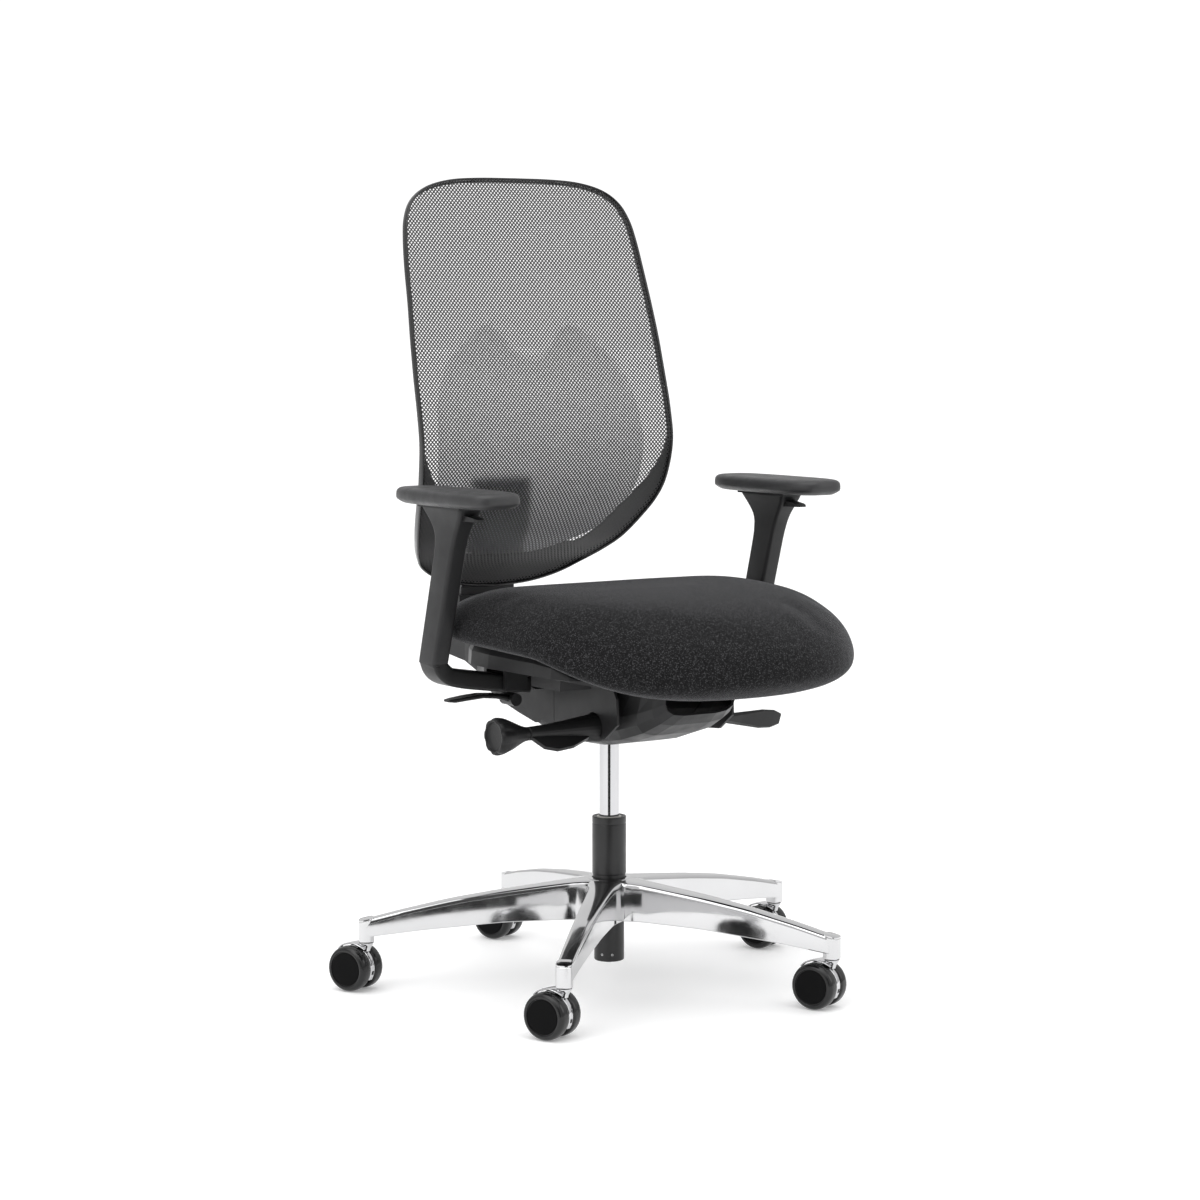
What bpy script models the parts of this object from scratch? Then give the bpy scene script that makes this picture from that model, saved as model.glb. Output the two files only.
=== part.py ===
"""Swivel office chair: five-star aluminium base on twin-wheel casters, gas column,
synchro mechanism, upholstered seat, mesh back and height-adjustable arms.

The chair faces -Y, +X is the sitter's left and +Z is up. Shapes are written in the
column frame (column axis at x = y = 0, floor at z = 0). One empty carries that frame,
so that the origin of the file is the middle of the chair's footprint on the floor.
"""
import math

import bmesh
import bpy
import numpy as np
from mathutils import Matrix, Vector

# ---------------------------------------------------------------- driving dimensions
SHIFT_X, SHIFT_Y = -0.00790, -0.00888    # column axis, from the middle of the footprint

# base star
STEM_R = 0.340          # caster stems stand on this circle
ARM_ANGLE_0 = -44.3     # first base arm, degrees from -Y towards +X
HUB_R, HUB_TOP, HUB_BOT = 0.033, 0.1513, 0.0935
BOSS_R, BOSS_TOP, BOSS_BOT = 0.0107, 0.1003, 0.0690
STEM_PIN_R = 0.0055

# casters
WHEEL_R, WHEEL_IN, WHEEL_OUT = 0.0315, 0.0056, 0.0245
TRAIL, TRAIL_ANGLE = 0.019, 22.5        # degrees, all five parked alike
AXLE_R = 0.0030
WHEEL_STEPS = 20

# column
TUBE_TOP, TUBE_BOT, TUBE_R, TUBE_R_LOW = 0.238, 0.0340, 0.0238, 0.0210
GAS_R, GAS_BOT, GAS_TOP = 0.0140, 0.1480, 0.3850
LIFT_DOWN, LIFT_UP = -0.095, 0.015
ROUND = 20

# mechanism
CASE_HALF, CASE_BOT = 0.078, 0.3440
RECLINE_Y, RECLINE_Z = 0.045, 0.392
TILT_Y, TILT_Z = -0.120, 0.430
LEVER_Y, LEVER_Z = -0.104, 0.381
CHEEK_IN, CHEEK_OUT = 0.0806, 0.0920

# seat
SEAT_HALF, SEAT_FRONT, SEAT_REAR = 0.2474, -0.3726, 0.1071
PAN_HALF, PAN_Z0, PAN_Z1 = 0.2060, 0.4597, 0.4862

# arms
ARM_X = 0.267
POST_SLOPE, POST_Y0, POST_Z0 = -0.287, 0.007, 0.548
SLEEVE_BOT, SLEEVE_TOP = 0.472, 0.6797
PAD_LEN, PAD_WID, PAD_Z0, PAD_Z1, PAD_Y = 0.236, 0.088, 0.6831, 0.7050, -0.029
LOCK_X, LOCK_Y, LOCK_Z = 0.140, 0.036, 0.4085

# back
BACK_BOTTOM, BACK_TOP = 0.537, 1.1278
BEAD_W, BEAD_D = 0.0046, 0.0140
MESH_T = 0.0024
NECK_HALF = 0.0460

GAP = 0.0003

# half outline of the back frame: height, half width
BACK_HALF = [(1.1278, 0.0), (1.1272, 0.060), (1.1235, 0.110), (1.1130, 0.150),
             (1.0950, 0.176), (1.0700, 0.190), (1.0400, 0.1965), (1.0000, 0.2010),
             (0.9500, 0.2050), (0.9000, 0.2090), (0.8500, 0.2115), (0.8000, 0.2130),
             (0.7500, 0.2130), (0.7050, 0.2095), (0.6700, 0.2030), (0.6400, 0.1920),
             (0.6100, 0.1770), (0.5900, 0.1610), (0.5700, 0.1370), (0.5530, 0.1030),
             (0.5415, 0.0560), (0.5370, 0.0)]
# side profile of the back: height, depth
BACK_SIDE = [(0.530, 0.3010), (0.545, 0.2930), (0.570, 0.2760), (0.590, 0.2490),
             (0.610, 0.2230), (0.640, 0.1950), (0.670, 0.1710), (0.700, 0.1560),
             (0.750, 0.1470), (0.800, 0.1540), (0.850, 0.1660), (0.900, 0.1780),
             (0.950, 0.1910), (1.000, 0.2060), (1.050, 0.2200), (1.130, 0.2430)]


# ---------------------------------------------------------------- scene and helpers
for ob in list(bpy.data.objects):
    bpy.data.objects.remove(ob, do_unlink=True)

PARTS = bpy.data.collections.new("swivel_office_chair")
CUTTERS = bpy.data.collections.new("cutters")
bpy.context.scene.collection.children.link(PARTS)
bpy.context.scene.collection.children.link(CUTTERS)


def material(name, rgb, roughness, metallic=0.0):
    mat = bpy.data.materials.new(name)
    mat.use_nodes = True
    bsdf = mat.node_tree.nodes["Principled BSDF"]
    bsdf.inputs["Base Color"].default_value = (*rgb, 1.0)
    bsdf.inputs["Roughness"].default_value = roughness
    bsdf.inputs["Metallic"].default_value = metallic
    mat.diffuse_color = (*rgb, 1.0)
    return mat


ALUMINIUM = material("polished_aluminium", (0.80, 0.80, 0.81), 0.12, 1.0)
CHROME = material("chrome", (0.82, 0.82, 0.84), 0.06, 1.0)
STEEL = material("bright_steel", (0.55, 0.55, 0.57), 0.30, 1.0)
BLACK_STEEL = material("black_powder_coat", (0.018, 0.018, 0.019), 0.42)
DARK_PLASTIC = material("dark_grey_plastic", (0.060, 0.060, 0.062), 0.50)
BLACK_PLASTIC = material("black_plastic", (0.020, 0.020, 0.021), 0.40)
GLOSS_BLACK = material("gloss_black_plastic", (0.008, 0.008, 0.008), 0.18)
GREY_PANEL = material("light_grey_panel", (0.42, 0.42, 0.43), 0.55)
NATURAL_PLASTIC = material("natural_plastic", (0.75, 0.74, 0.70), 0.45)
RUBBER = material("rubber", (0.025, 0.025, 0.025), 0.80)
SEAT_CLOTH = material("charcoal_cloth", (0.030, 0.030, 0.031), 0.95)
MESH_CLOTH = material("black_mesh", (0.020, 0.020, 0.020), 0.80)
SOFT_PAD = material("soft_pad", (0.045, 0.045, 0.046), 0.60)
SPRING_STEEL = material("spring_steel", (0.30, 0.30, 0.32), 0.35, 1.0)

FRAME = bpy.data.objects.new("column_frame", None)
FRAME.location = (SHIFT_X, SHIFT_Y, 0.0)
PARTS.objects.link(FRAME)
PIVOT = {FRAME: Vector((0, 0, 0))}


def axis_empty(name, pivot, parent=None):
    """Empty on a joint's axis; the pieces that turn or slide there hang from it."""
    parent = parent or FRAME
    e = bpy.data.objects.new(name, None)
    e.empty_display_size = 0.02
    PARTS.objects.link(e)
    e.parent = parent
    e.location = Vector(pivot) - PIVOT[parent]
    PIVOT[e] = Vector(pivot)
    return e


def hang(ob, parent):
    """Hang an object, placed in the column frame, from an empty."""
    ob.parent = parent
    ob.location = Vector(ob.location) - PIVOT[parent]
    return ob


def new_object(name, mesh, mat, collection=PARTS):
    ob = bpy.data.objects.new(name, mesh)
    collection.objects.link(ob)
    if mat:
        mesh.materials.append(mat)
    if collection is CUTTERS:
        ob.hide_render = True
        ob.display_type = "WIRE"
    return ob


def from_bmesh(name, bm, mat, collection=PARTS, smooth=40.0):
    bmesh.ops.recalc_face_normals(bm, faces=bm.faces)
    mesh = bpy.data.meshes.new(name)
    bm.to_mesh(mesh)
    bm.free()
    mesh.shade_smooth()
    mesh.set_sharp_from_angle(angle=math.radians(smooth))
    return new_object(name, mesh, mat, collection)


def box(name, lo, hi, mat=None, collection=PARTS, bevel=0.0):
    bm = bmesh.new()
    lo, hi = Vector(lo), Vector(hi)
    size = hi - lo
    bmesh.ops.create_cube(bm, size=1.0, matrix=Matrix.Translation((lo + hi) / 2) @ Matrix.Diagonal((*size, 1.0)))
    ob = from_bmesh(name, bm, mat, collection)
    if bevel:
        m = ob.modifiers.new("bevel", "BEVEL")
        m.width, m.segments = bevel, 2
    return ob


def rod(name, a, b, r, mat=None, steps=ROUND, collection=PARTS, r2=None):
    """Closed cylinder or cone from a to b."""
    a, b = Vector(a), Vector(b)
    d = b - a
    m = Matrix.Translation((a + b) / 2) @ d.to_track_quat("Z", "Y").to_matrix().to_4x4()
    bm = bmesh.new()
    bmesh.ops.create_cone(bm, cap_ends=True, segments=steps, radius1=r,
                          radius2=r if r2 is None else r2, depth=d.length, matrix=m)
    return from_bmesh(name, bm, mat, collection)


def turned(name, profile, mat, at=(0, 0, 0), axis="Z", closed=False, steps=ROUND, collection=PARTS):
    """Turned shape: a profile of (radius, height), top to bottom down its outer side."""
    mesh = bpy.data.meshes.new(name)
    verts = [(r, 0.0, z) for r, z in profile]
    n = len(verts)
    edges = [(i, i + 1) for i in range(n - 1)] + ([(n - 1, 0)] if closed else [])
    mesh.from_pydata(verts, edges, [])
    ob = new_object(name, mesh, mat, collection)
    m = ob.modifiers.new("turn", "SCREW")
    m.axis = "Z"
    m.angle = 2 * math.pi
    m.steps = m.render_steps = steps
    m.use_merge_vertices = True
    m.merge_threshold = 0.00001
    m.use_smooth_shade = True
    ob.location = at
    if axis == "X":
        ob.rotation_euler = (0, math.pi / 2, 0)
    elif axis == "-X":
        ob.rotation_euler = (0, -math.pi / 2, 0)
    elif axis == "Y":
        ob.rotation_euler = (-math.pi / 2, 0, 0)
    return ob


def ring_loft(name, rings, mat, collection=PARTS, closed_path=False, smooth=40.0):
    """Loft between closed sections with the same number of points."""
    bm = bmesh.new()
    vs = [[bm.verts.new(p) for p in ring] for ring in rings]
    n = len(rings[0])
    last = len(rings) if closed_path else len(rings) - 1
    for i in range(last):
        a, b = vs[i], vs[(i + 1) % len(rings)]
        for j in range(n):
            bm.faces.new((a[j], a[(j + 1) % n], b[(j + 1) % n], b[j]))
    if not closed_path:
        bm.faces.new(vs[0][::-1])
        bm.faces.new(vs[-1])
    return from_bmesh(name, bm, mat, collection, smooth)


def sheet(name, rows, mat, thickness, collection=PARTS, offset=-1.0):
    """Open surface through rows of points, thickened with Solidify."""
    bm = bmesh.new()
    vs = [[bm.verts.new(p) for p in row] for row in rows]
    for a, b in zip(vs, vs[1:]):
        for j in range(len(a) - 1):
            bm.faces.new((a[j], a[j + 1], b[j + 1], b[j]))
    mesh = bpy.data.meshes.new(name)
    bm.to_mesh(mesh)
    bm.free()
    mesh.shade_smooth()
    mesh.set_sharp_from_angle(angle=math.radians(40))
    ob = new_object(name, mesh, mat, collection)
    m = ob.modifiers.new("wall", "SOLIDIFY")
    m.thickness = thickness
    m.offset = offset
    m.use_even_offset = True
    return ob


def outline(name, points, half, mat=None, collection=PARTS, plane="YZ", centre=0.0, bevel=0.0):
    """Flat outline, as a filled 2D curve, extruded to both sides of its plane."""
    cu = bpy.data.curves.new(name, "CURVE")
    cu.dimensions = "2D"
    cu.fill_mode = "BOTH"
    cu.extrude = half
    sp = cu.splines.new("POLY")
    sp.points.add(len(points) - 1)
    for p, (u, v) in zip(sp.points, points):
        p.co = (u, v, 0.0, 1.0)
    sp.use_cyclic_u = True
    tmp = bpy.data.objects.new(name, cu)
    PARTS.objects.link(tmp)
    if plane == "YZ":       # curve x -> Y, curve y -> Z, depth -> X
        tmp.matrix_world = Matrix(((0, 0, 1, centre), (1, 0, 0, 0), (0, 1, 0, 0), (0, 0, 0, 1)))
    elif plane == "XY":
        tmp.matrix_world = Matrix.Translation((0, 0, centre))
    elif plane == "XZ":     # curve x -> X, curve y -> Z, depth -> -Y
        tmp.matrix_world = Matrix(((1, 0, 0, 0), (0, 0, -1, centre), (0, 1, 0, 0), (0, 0, 0, 1)))
    bpy.context.view_layer.update()
    mesh = bpy.data.meshes.new_from_object(tmp.evaluated_get(bpy.context.evaluated_depsgraph_get()))
    mesh.transform(tmp.matrix_world)
    bpy.data.objects.remove(tmp, do_unlink=True)
    mesh.name = name
    bm = bmesh.new()
    bm.from_mesh(mesh)
    bmesh.ops.remove_doubles(bm, verts=bm.verts, dist=0.00001)
    bpy.data.meshes.remove(mesh)
    ob = from_bmesh(name, bm, mat, collection)
    if bevel:
        m = ob.modifiers.new("bevel", "BEVEL")
        m.width, m.segments, m.limit_method = bevel, 1, "ANGLE"
    return ob


def boolean(ob, other, operation):
    m = ob.modifiers.new(operation.lower(), "BOOLEAN")
    m.operation = operation
    m.solver = "EXACT"
    m.object = other
    return ob


def cut(ob, other):
    return boolean(ob, other, "DIFFERENCE")


def join(ob, other):
    return boolean(ob, other, "UNION")


def catmull(points, per):
    """Smooth curve through points given as tuples, evaluated per times a span."""
    pts = [np.array(p, float) for p in points]
    pts = [2 * pts[0] - pts[1]] + pts + [2 * pts[-1] - pts[-2]]
    out = []
    for i in range(1, len(pts) - 2):
        p0, p1, p2, p3 = pts[i - 1:i + 3]
        for k in range(per):
            t = k / per
            out.append(0.5 * ((2 * p1) + (-p0 + p2) * t + (2 * p0 - 5 * p1 + 4 * p2 - p3) * t * t
                              + (-p0 + 3 * p1 - 3 * p2 + p3) * t ** 3))
    out.append(pts[-2])
    return out


def arc(cy, cz, r, a0, a1, n):
    return [(cy + r * math.cos(math.radians(a0 + (a1 - a0) * i / n)),
             cz + r * math.sin(math.radians(a0 + (a1 - a0) * i / n))) for i in range(n + 1)]


def rounded(w, h, r, n=1):
    """Rounded rectangle outline with half sizes w, h and corner radius r."""
    pts = []
    for cx, cy, a in ((w - r, h - r, 0), (-w + r, h - r, 90), (-w + r, -h + r, 180), (w - r, -h + r, 270)):
        for i in range(n + 1):
            t = math.radians(a + 90 * i / n)
            pts.append((cx + r * math.cos(t), cy + r * math.sin(t)))
    return pts


# ---------------------------------------------------------------- base star
def arm_top(r):
    return float(np.interp(r, [0.0, 0.033, 0.08, 0.15, 0.22, 0.293, 0.335, 0.36],
                           [0.1513, 0.1505, 0.1452, 0.1370, 0.1268, 0.1120, 0.1020, 0.0965]))


def arm_bottom(r):
    return float(np.interp(r, [0.0, 0.045, 0.15, 0.263, 0.325, 0.36],
                           [0.0945, 0.0955, 0.0935, 0.0850, 0.0785, 0.0745]))


def arm_half(r):
    return float(np.interp(r, [0.0, 0.03, 0.10, 0.20, 0.30, 0.36], [0.0205, 0.0200, 0.0172, 0.0143, 0.0118, 0.0108]))


def arm_rings(radii, inner, direction):
    d = Vector((math.sin(direction), -math.cos(direction), 0))
    s = Vector((math.cos(direction), math.sin(direction), 0))
    rings = []
    for r in radii:
        w, zt, zb = arm_half(r), arm_top(r), arm_bottom(r)
        if inner:
            w, zt, zb = w - 0.0036, zt - 0.0052, zb - 0.004
            sec = [(-w, zb), (-w * 0.88, zt), (w * 0.88, zt), (w, zb)]
        else:
            sec = [(-w, zb), (-w * 0.97, zt - 0.0065), (-w * 0.86, zt - 0.0022), (-w * 0.60, zt),
                   (w * 0.60, zt), (w * 0.86, zt - 0.0022), (w * 0.97, zt - 0.0065), (w, zb)]
        rings.append([d * r + s * x + Vector((0, 0, z)) for x, z in sec])
    return rings


def make_base(body):
    hub = turned("base_star", [(0.0, HUB_TOP), (HUB_R - 0.002, HUB_TOP), (HUB_R, HUB_TOP - 0.002),
                               (HUB_R + 0.002, HUB_BOT + 0.002), (HUB_R, HUB_BOT), (0.0, HUB_BOT)], ALUMINIUM)
    tools = []
    for k in range(5):
        a = math.radians(ARM_ANGLE_0 + 72 * k)
        d = Vector((math.sin(a), -math.cos(a), 0))
        arm = ring_loft(f"arm_{k}", arm_rings([0.012, 0.05, 0.13, 0.22, 0.293, STEM_R], False, a), None, CUTTERS)
        boss = turned(f"boss_{k}", [(0, BOSS_TOP), (BOSS_R - 0.0012, BOSS_TOP), (BOSS_R, BOSS_TOP - 0.0012),
                                    (BOSS_R, BOSS_BOT + 0.0006), (BOSS_R - 0.0006, BOSS_BOT), (0, BOSS_BOT)],
                      None, at=d * STEM_R, steps=16, collection=CUTTERS)
        join(hub, arm)
        join(hub, boss)
        tools.append((k, a, d))
    for k, a, d in tools:
        channel = ring_loft(f"channel_{k}", arm_rings([0.050, 0.13, 0.22, 0.293, 0.3225], True, a), None, CUTTERS)
        bore = rod(f"stem_bore_{k}", d * STEM_R + Vector((0, 0, 0.060)), d * STEM_R + Vector((0, 0, 0.0945)),
                   STEM_PIN_R + GAP, None, 12, CUTTERS)
        cut(hub, channel)
        cut(hub, bore)
        hang(channel, FRAME), hang(bore, FRAME)
    taper = turned("hub_taper", [(0, 0.158), (0.0231, 0.158), (0.0229, 0.150), (0.02135, 0.088), (0, 0.088)],
                   None, collection=CUTTERS)
    cut(hub, taper)
    for ob in CUTTERS.objects:
        if ob.parent is None:
            hang(ob, FRAME)
    hang(hub, body)


def make_column(base, gas, chassis, pin_body):
    tube = turned("column_tube", [
        (0.0232, TUBE_TOP), (TUBE_R, TUBE_TOP - 0.0008), (TUBE_R, 0.1580), (TUBE_R - 0.0010, 0.1565), (0.0226, 0.1500),
        (TUBE_R_LOW, 0.0885), (TUBE_R_LOW, TUBE_BOT + 0.002), (TUBE_R_LOW - 0.0010, TUBE_BOT),
        (0.0062, TUBE_BOT), (0.0062, 0.0375), (0.0175, 0.0375), (0.0175, TUBE_TOP)], BLACK_STEEL, closed=True)
    hang(tube, base)
    bush = turned("column_bush", [(0.0172, TUBE_TOP - 0.0005), (0.0172, 0.168), (0.0143, 0.168), (0.0143, TUBE_TOP - 0.0005)],
                  NATURAL_PLASTIC, closed=True)
    hang(bush, base)
    hang(turned("piston_rod", [(0, 0.184), (0.0110, 0.184), (0.0110, 0.172), (0.0050, 0.172), (0.0050, 0.0305), (0, 0.0305)],
                STEEL, steps=20), gas)
    hang(turned("thrust_bearing", [(0.0120, 0.0438), (0.0120, 0.0378), (0.0053, 0.0378), (0.0053, 0.0438)],
                STEEL, closed=True, steps=20), gas)
    hang(turned("bump_ring", [(0.0095, 0.0521), (0.0105, 0.0441), (0.0053, 0.0441), (0.0053, 0.0521)],
                RUBBER, closed=True, steps=20), gas)
    hang(turned("rod_clip", [(0.0095, 0.0337), (0.0095, 0.0320), (0.0053, 0.0320), (0.0053, 0.0337)],
                STEEL, closed=True, steps=20), gas)
    hang(turned("gas_cylinder", [
        (0.0124, GAS_TOP), (0.0129, GAS_TOP - 0.001), (GAS_R, 0.346), (GAS_R, GAS_BOT + 0.001), (GAS_R - 0.001, GAS_BOT),
        (0.0053, GAS_BOT), (0.0053, 0.156), (0.0113, 0.156), (0.0113, 0.351), (0.0030, 0.352), (0.0030, GAS_TOP)],
        CHROME, closed=True), chassis)
    hang(turned("release_pin", [(0, 0.3900), (0.0023, 0.3900), (0.0027, 0.3894), (0.0027, 0.3565), (0, 0.3565)],
                STEEL, steps=12), pin_body)
    hang(turned("column_socket", [
        (0.0220, 0.3840), (0.0260, 0.3740), (0.0260, 0.3500), (0.01432, 0.3500), (0.0132, 0.3840)],
        BLACK_STEEL, closed=True), chassis)


# ---------------------------------------------------------------- casters
def make_caster(n, direction):
    """One twin-wheel caster; local +X is its axle, local +Y the side it trails to."""
    a = math.radians(direction)
    at = Vector((math.sin(a), -math.cos(a), 0)) * STEM_R
    spin = axis_empty(f"caster_swivel_{n}", at, FRAME)
    spin.rotation_euler = (0, 0, math.radians(TRAIL_ANGLE))
    cy, cz = TRAIL, WHEEL_R

    # web between the wheels: a disc rim at the front that runs up into the stem block
    r = 0.0298
    side = arc(cy, cz, r, 212, 118, 6)            # front rim, from low front up to the stem
    side = [p for p in side if p[0] > -0.0105 or p[1] < 0.058]
    web_points = ([(cy - 0.012, 0.0110)] + side[:4] + [(-0.0092, 0.0560), (-0.0092, 0.0640), (0.0092, 0.0640), (0.0150, 0.0612)]
                  + arc(cy, cz, r, 92, -20, 5) + [(cy + 0.012, 0.0110)])
    body = outline(f"caster_body_{n}", web_points, 0.0046, CHROME)
    block = turned(f"stem_block_{n}", [
        (0, 0.0940), (0.0045, 0.0940), (STEM_PIN_R, 0.0925), (STEM_PIN_R, 0.0686), (0.0098, 0.0686), (0.0098, 0.0655),
        (0.0088, 0.0638), (0.0052, 0.0632), (0.0046, 0.0545), (0, 0.0545)], None, steps=14, collection=CUTTERS)
    join(body, block)
    hood_arc = arc(cy, cz, 0.0352, 128, 48, 5) + arc(cy, cz, 0.0332, 48, 128, 5)
    hood = outline(f"hood_{n}", hood_arc, 0.0115, None, CUTTERS)
    join(body, hood)
    bore = rod(f"axle_bore_{n}", (-0.02, cy, cz), (0.02, cy, cz), AXLE_R + GAP, None, 12, CUTTERS)
    cut(body, bore)
    for ob in (body, block, hood, bore):
        ob.parent = spin
    roll = bpy.data.objects.new(f"wheel_axis_{n}", None)
    PARTS.objects.link(roll)
    roll.parent = spin
    roll.location = (0, cy, cz)
    axle = rod(f"caster_axle_{n}", (-0.0205, 0, 0), (0.0205, 0, 0), AXLE_R, STEEL, 12)
    axle.parent = roll
    w0, w1 = WHEEL_IN, WHEEL_OUT
    profile = [(0.0, w1), (0.0278, w1), (WHEEL_R, w1 - 0.0045), (WHEEL_R, w0 + 0.0030), (0.0296, w0),
               (AXLE_R + GAP, w0), (AXLE_R + GAP, 0.0210), (0.0, 0.0210)]
    for tag, axis in (("a", "X"), ("b", "-X")):
        wheel = turned(f"caster_wheel_{n}{tag}", profile, BLACK_PLASTIC, axis=axis, steps=WHEEL_STEPS)
        wheel.parent = roll


# ---------------------------------------------------------------- mechanism
def case_top(y):
    return 0.4370 - (y + 0.12) * 0.160 if y > -0.12 else 0.4370


def case_bottom(y):
    return float(np.interp(y, [-0.215, -0.19, -0.16, -0.12, -0.075, -0.03, 0.045, 0.075, 0.105],
                           [0.404, 0.386, 0.372, 0.359, 0.3495, CASE_BOT, CASE_BOT, 0.3560, 0.3760]))


def case_row(y, half, slant=0.0, up=0.0):
    """One cross-section of the casing, from one top edge round to the other."""
    zb, zt = case_bottom(y + slant) - up, case_top(y)
    sec = [(1.0, zt), (1.0, zb + 0.52 * (zt - zb)), (0.94, zb + 0.26 * (zt - zb)), (0.76, zb + 0.07 * (zt - zb)), (0.46, zb)]
    row = []
    for k, z in [(s[0], s[1]) for s in sec] + [(-s[0], s[1]) for s in sec[::-1]]:
        t = (z - zb) / (zt - zb)
        row.append((half * k, y + slant * (1 - t), z))
    return row


def make_mechanism(body, lever, knob, paddle):
    rows = [case_row(-0.1450, CASE_HALF, 0.085), case_row(-0.1100, CASE_HALF, 0.055), case_row(-0.0550, CASE_HALF, 0.015)]
    rows += [case_row(y, CASE_HALF) for y in (-0.0150, 0.015, 0.0450, 0.0750, 0.1050)]
    housing = sheet("mechanism_housing", rows, DARK_PLASTIC, 0.0036, offset=-1.0)
    hole = rod("column_hole", (0, 0, 0.330), (0, 0, 0.3484), 0.0144, None, ROUND, CUTTERS)
    cut(housing, hole)
    for tag, y, z, r in (("recline", RECLINE_Y, RECLINE_Z, 0.0063), ("tilt", TILT_Y, TILT_Z - 0.010, 0.0053)):
        h = rod(f"{tag}_hole", (-0.12, y, z), (0.12, y, z), r, None, 16, CUTTERS)
        cut(housing, h)
        hang(h, body)
    lever_hole = rod("lever_hole", (-0.12, LEVER_Y, LEVER_Z), (0.12, LEVER_Y, LEVER_Z), 0.0075, None, 16, CUTTERS)
    cut(housing, lever_hole)
    hang(hole, body), hang(lever_hole, body), hang(housing, body)

    rows = [case_row(-0.1468, CASE_HALF, 0.085), case_row(-0.1650, CASE_HALF * 0.985, 0.055), case_row(-0.1850, CASE_HALF * 0.94, 0.026),
            case_row(-0.2020, CASE_HALF * 0.86, 0.008), case_row(-0.2150, CASE_HALF * 0.74, 0.0)]
    cover = sheet("front_cover", rows, DARK_PLASTIC, 0.0030, offset=1.0)
    notch = rod("cover_notch", (-0.12, TILT_Y, TILT_Z - 0.010), (0.12, TILT_Y, TILT_Z - 0.010), 0.0066, None, 16, CUTTERS)
    cut(cover, notch)
    cut(cover, lever_hole)
    hang(cover, body), hang(notch, body)
    hang(rod("recline_axle", (-0.0928, RECLINE_Y, RECLINE_Z), (0.0928, RECLINE_Y, RECLINE_Z), 0.0060, STEEL, 16), body)
    hang(rod("seat_axle", (-0.0905, TILT_Y, TILT_Z - 0.010), (0.0905, TILT_Y, TILT_Z - 0.010), 0.0050, STEEL, 16), body)

    # the casing's own cheeks, outside the carrier's fork, on two stand-offs each
    cheek = [(-0.1600, 0.3900), (-0.1300, 0.3680), (-0.0800, 0.3640), (-0.0268, 0.3690), (0.0231, 0.3772), (0.0739, 0.3925), (0.1257, 0.4050),
             (0.1230, 0.4090), (0.0620, 0.4150), (-0.1180, 0.4400), (-0.1480, 0.4400), (-0.1580, 0.4250)]
    for tag, s, r in (("r", -1, 0.0212), ("l", 1, 0.0140)):
        side = outline(f"side_cover_{tag}", cheek, 0.0019, None, CUTTERS, centre=s * 0.0954)
        join(housing, side)
        for y0 in (-0.0640, -0.0060):
            x0, x1 = sorted((s * 0.0757, s * 0.0945))
            stand = box(f"stand_off_{tag}_{int(-y0 * 1000)}", (x0, y0, 0.3870), (x1, y0 + 0.0120, 0.3990), None, CUTTERS)
            join(housing, stand)
            hang(stand, body)
        eye = rod(f"cheek_eye_{tag}", (s * 0.085, LEVER_Y, LEVER_Z), (s * 0.105, LEVER_Y, LEVER_Z), r, None, 20, CUTTERS)
        x0, x1 = sorted((s * 0.0967, s * 0.0990))
        seam = box(f"cheek_seam_{tag}", (x0, -0.0085, 0.3600), (x1, -0.0077, 0.4400), None, CUTTERS)
        cut(housing, eye)
        cut(housing, seam)
        for ob in (side, eye, seam):
            hang(ob, body)

    # main tilt spring, lying along Y above the casing floor, and the plate it pushes on
    cu = bpy.data.curves.new("tilt_spring", "CURVE")
    cu.dimensions = "3D"
    cu.bevel_depth, cu.bevel_resolution, cu.use_fill_caps = 0.0026, 1, True
    sp = cu.splines.new("POLY")
    turns, per = 4, 9
    sp.points.add(turns * per)
    for i, p in enumerate(sp.points):
        t = 2 * math.pi * i / per
        p.co = (0.0165 * math.cos(t), -0.091 + 0.0135 * i / per, 0.385 + 0.0165 * math.sin(t), 1.0)
    cu.materials.append(SPRING_STEEL)
    spring = bpy.data.objects.new("tilt_spring", cu)
    PARTS.objects.link(spring)
    hang(spring, body)
    hang(box("spring_seat", (-0.0240, -0.1005, 0.3640), (0.0240, -0.0942, 0.4060), BLACK_STEEL, bevel=0.0015), body)

    # gas release lever: tapered boss round the tension shaft, with a finger wing
    x = -0.0822
    boss = turned("height_lever", [
        (0.0078, 0.1205), (0.0092, 0.1195), (0.0104, 0.0950), (0.0135, 0.0620), (0.0175, 0.0300), (0.0200, 0.0100), (0.0200, 0.0012),
        (0.0188, 0.0), (0.0062, 0.0), (0.0062, 0.1205)], BLACK_PLASTIC, at=(x, LEVER_Y, LEVER_Z), axis="-X", closed=True, steps=24)
    wing_pts = [(-0.1080, LEVER_Y - 0.008), (-0.1150, LEVER_Y - 0.0185), (-0.1450, LEVER_Y - 0.031), (-0.1720, LEVER_Y - 0.0345),
                (-0.1900, LEVER_Y - 0.028), (-0.2010, LEVER_Y - 0.0095), (-0.1940, LEVER_Y - 0.0075)]
    wing = outline("lever_wing", wing_pts, 0.0026, None, CUTTERS, plane="XY", centre=LEVER_Z)
    tilt = Matrix.Translation((0, LEVER_Y, LEVER_Z)) @ Matrix.Rotation(math.radians(38), 4, "X") @ Matrix.Translation((0, -LEVER_Y, -LEVER_Z))
    wing.data.transform(tilt)
    join(boss, wing)
    hang(boss, lever), hang(wing, lever)

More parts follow.
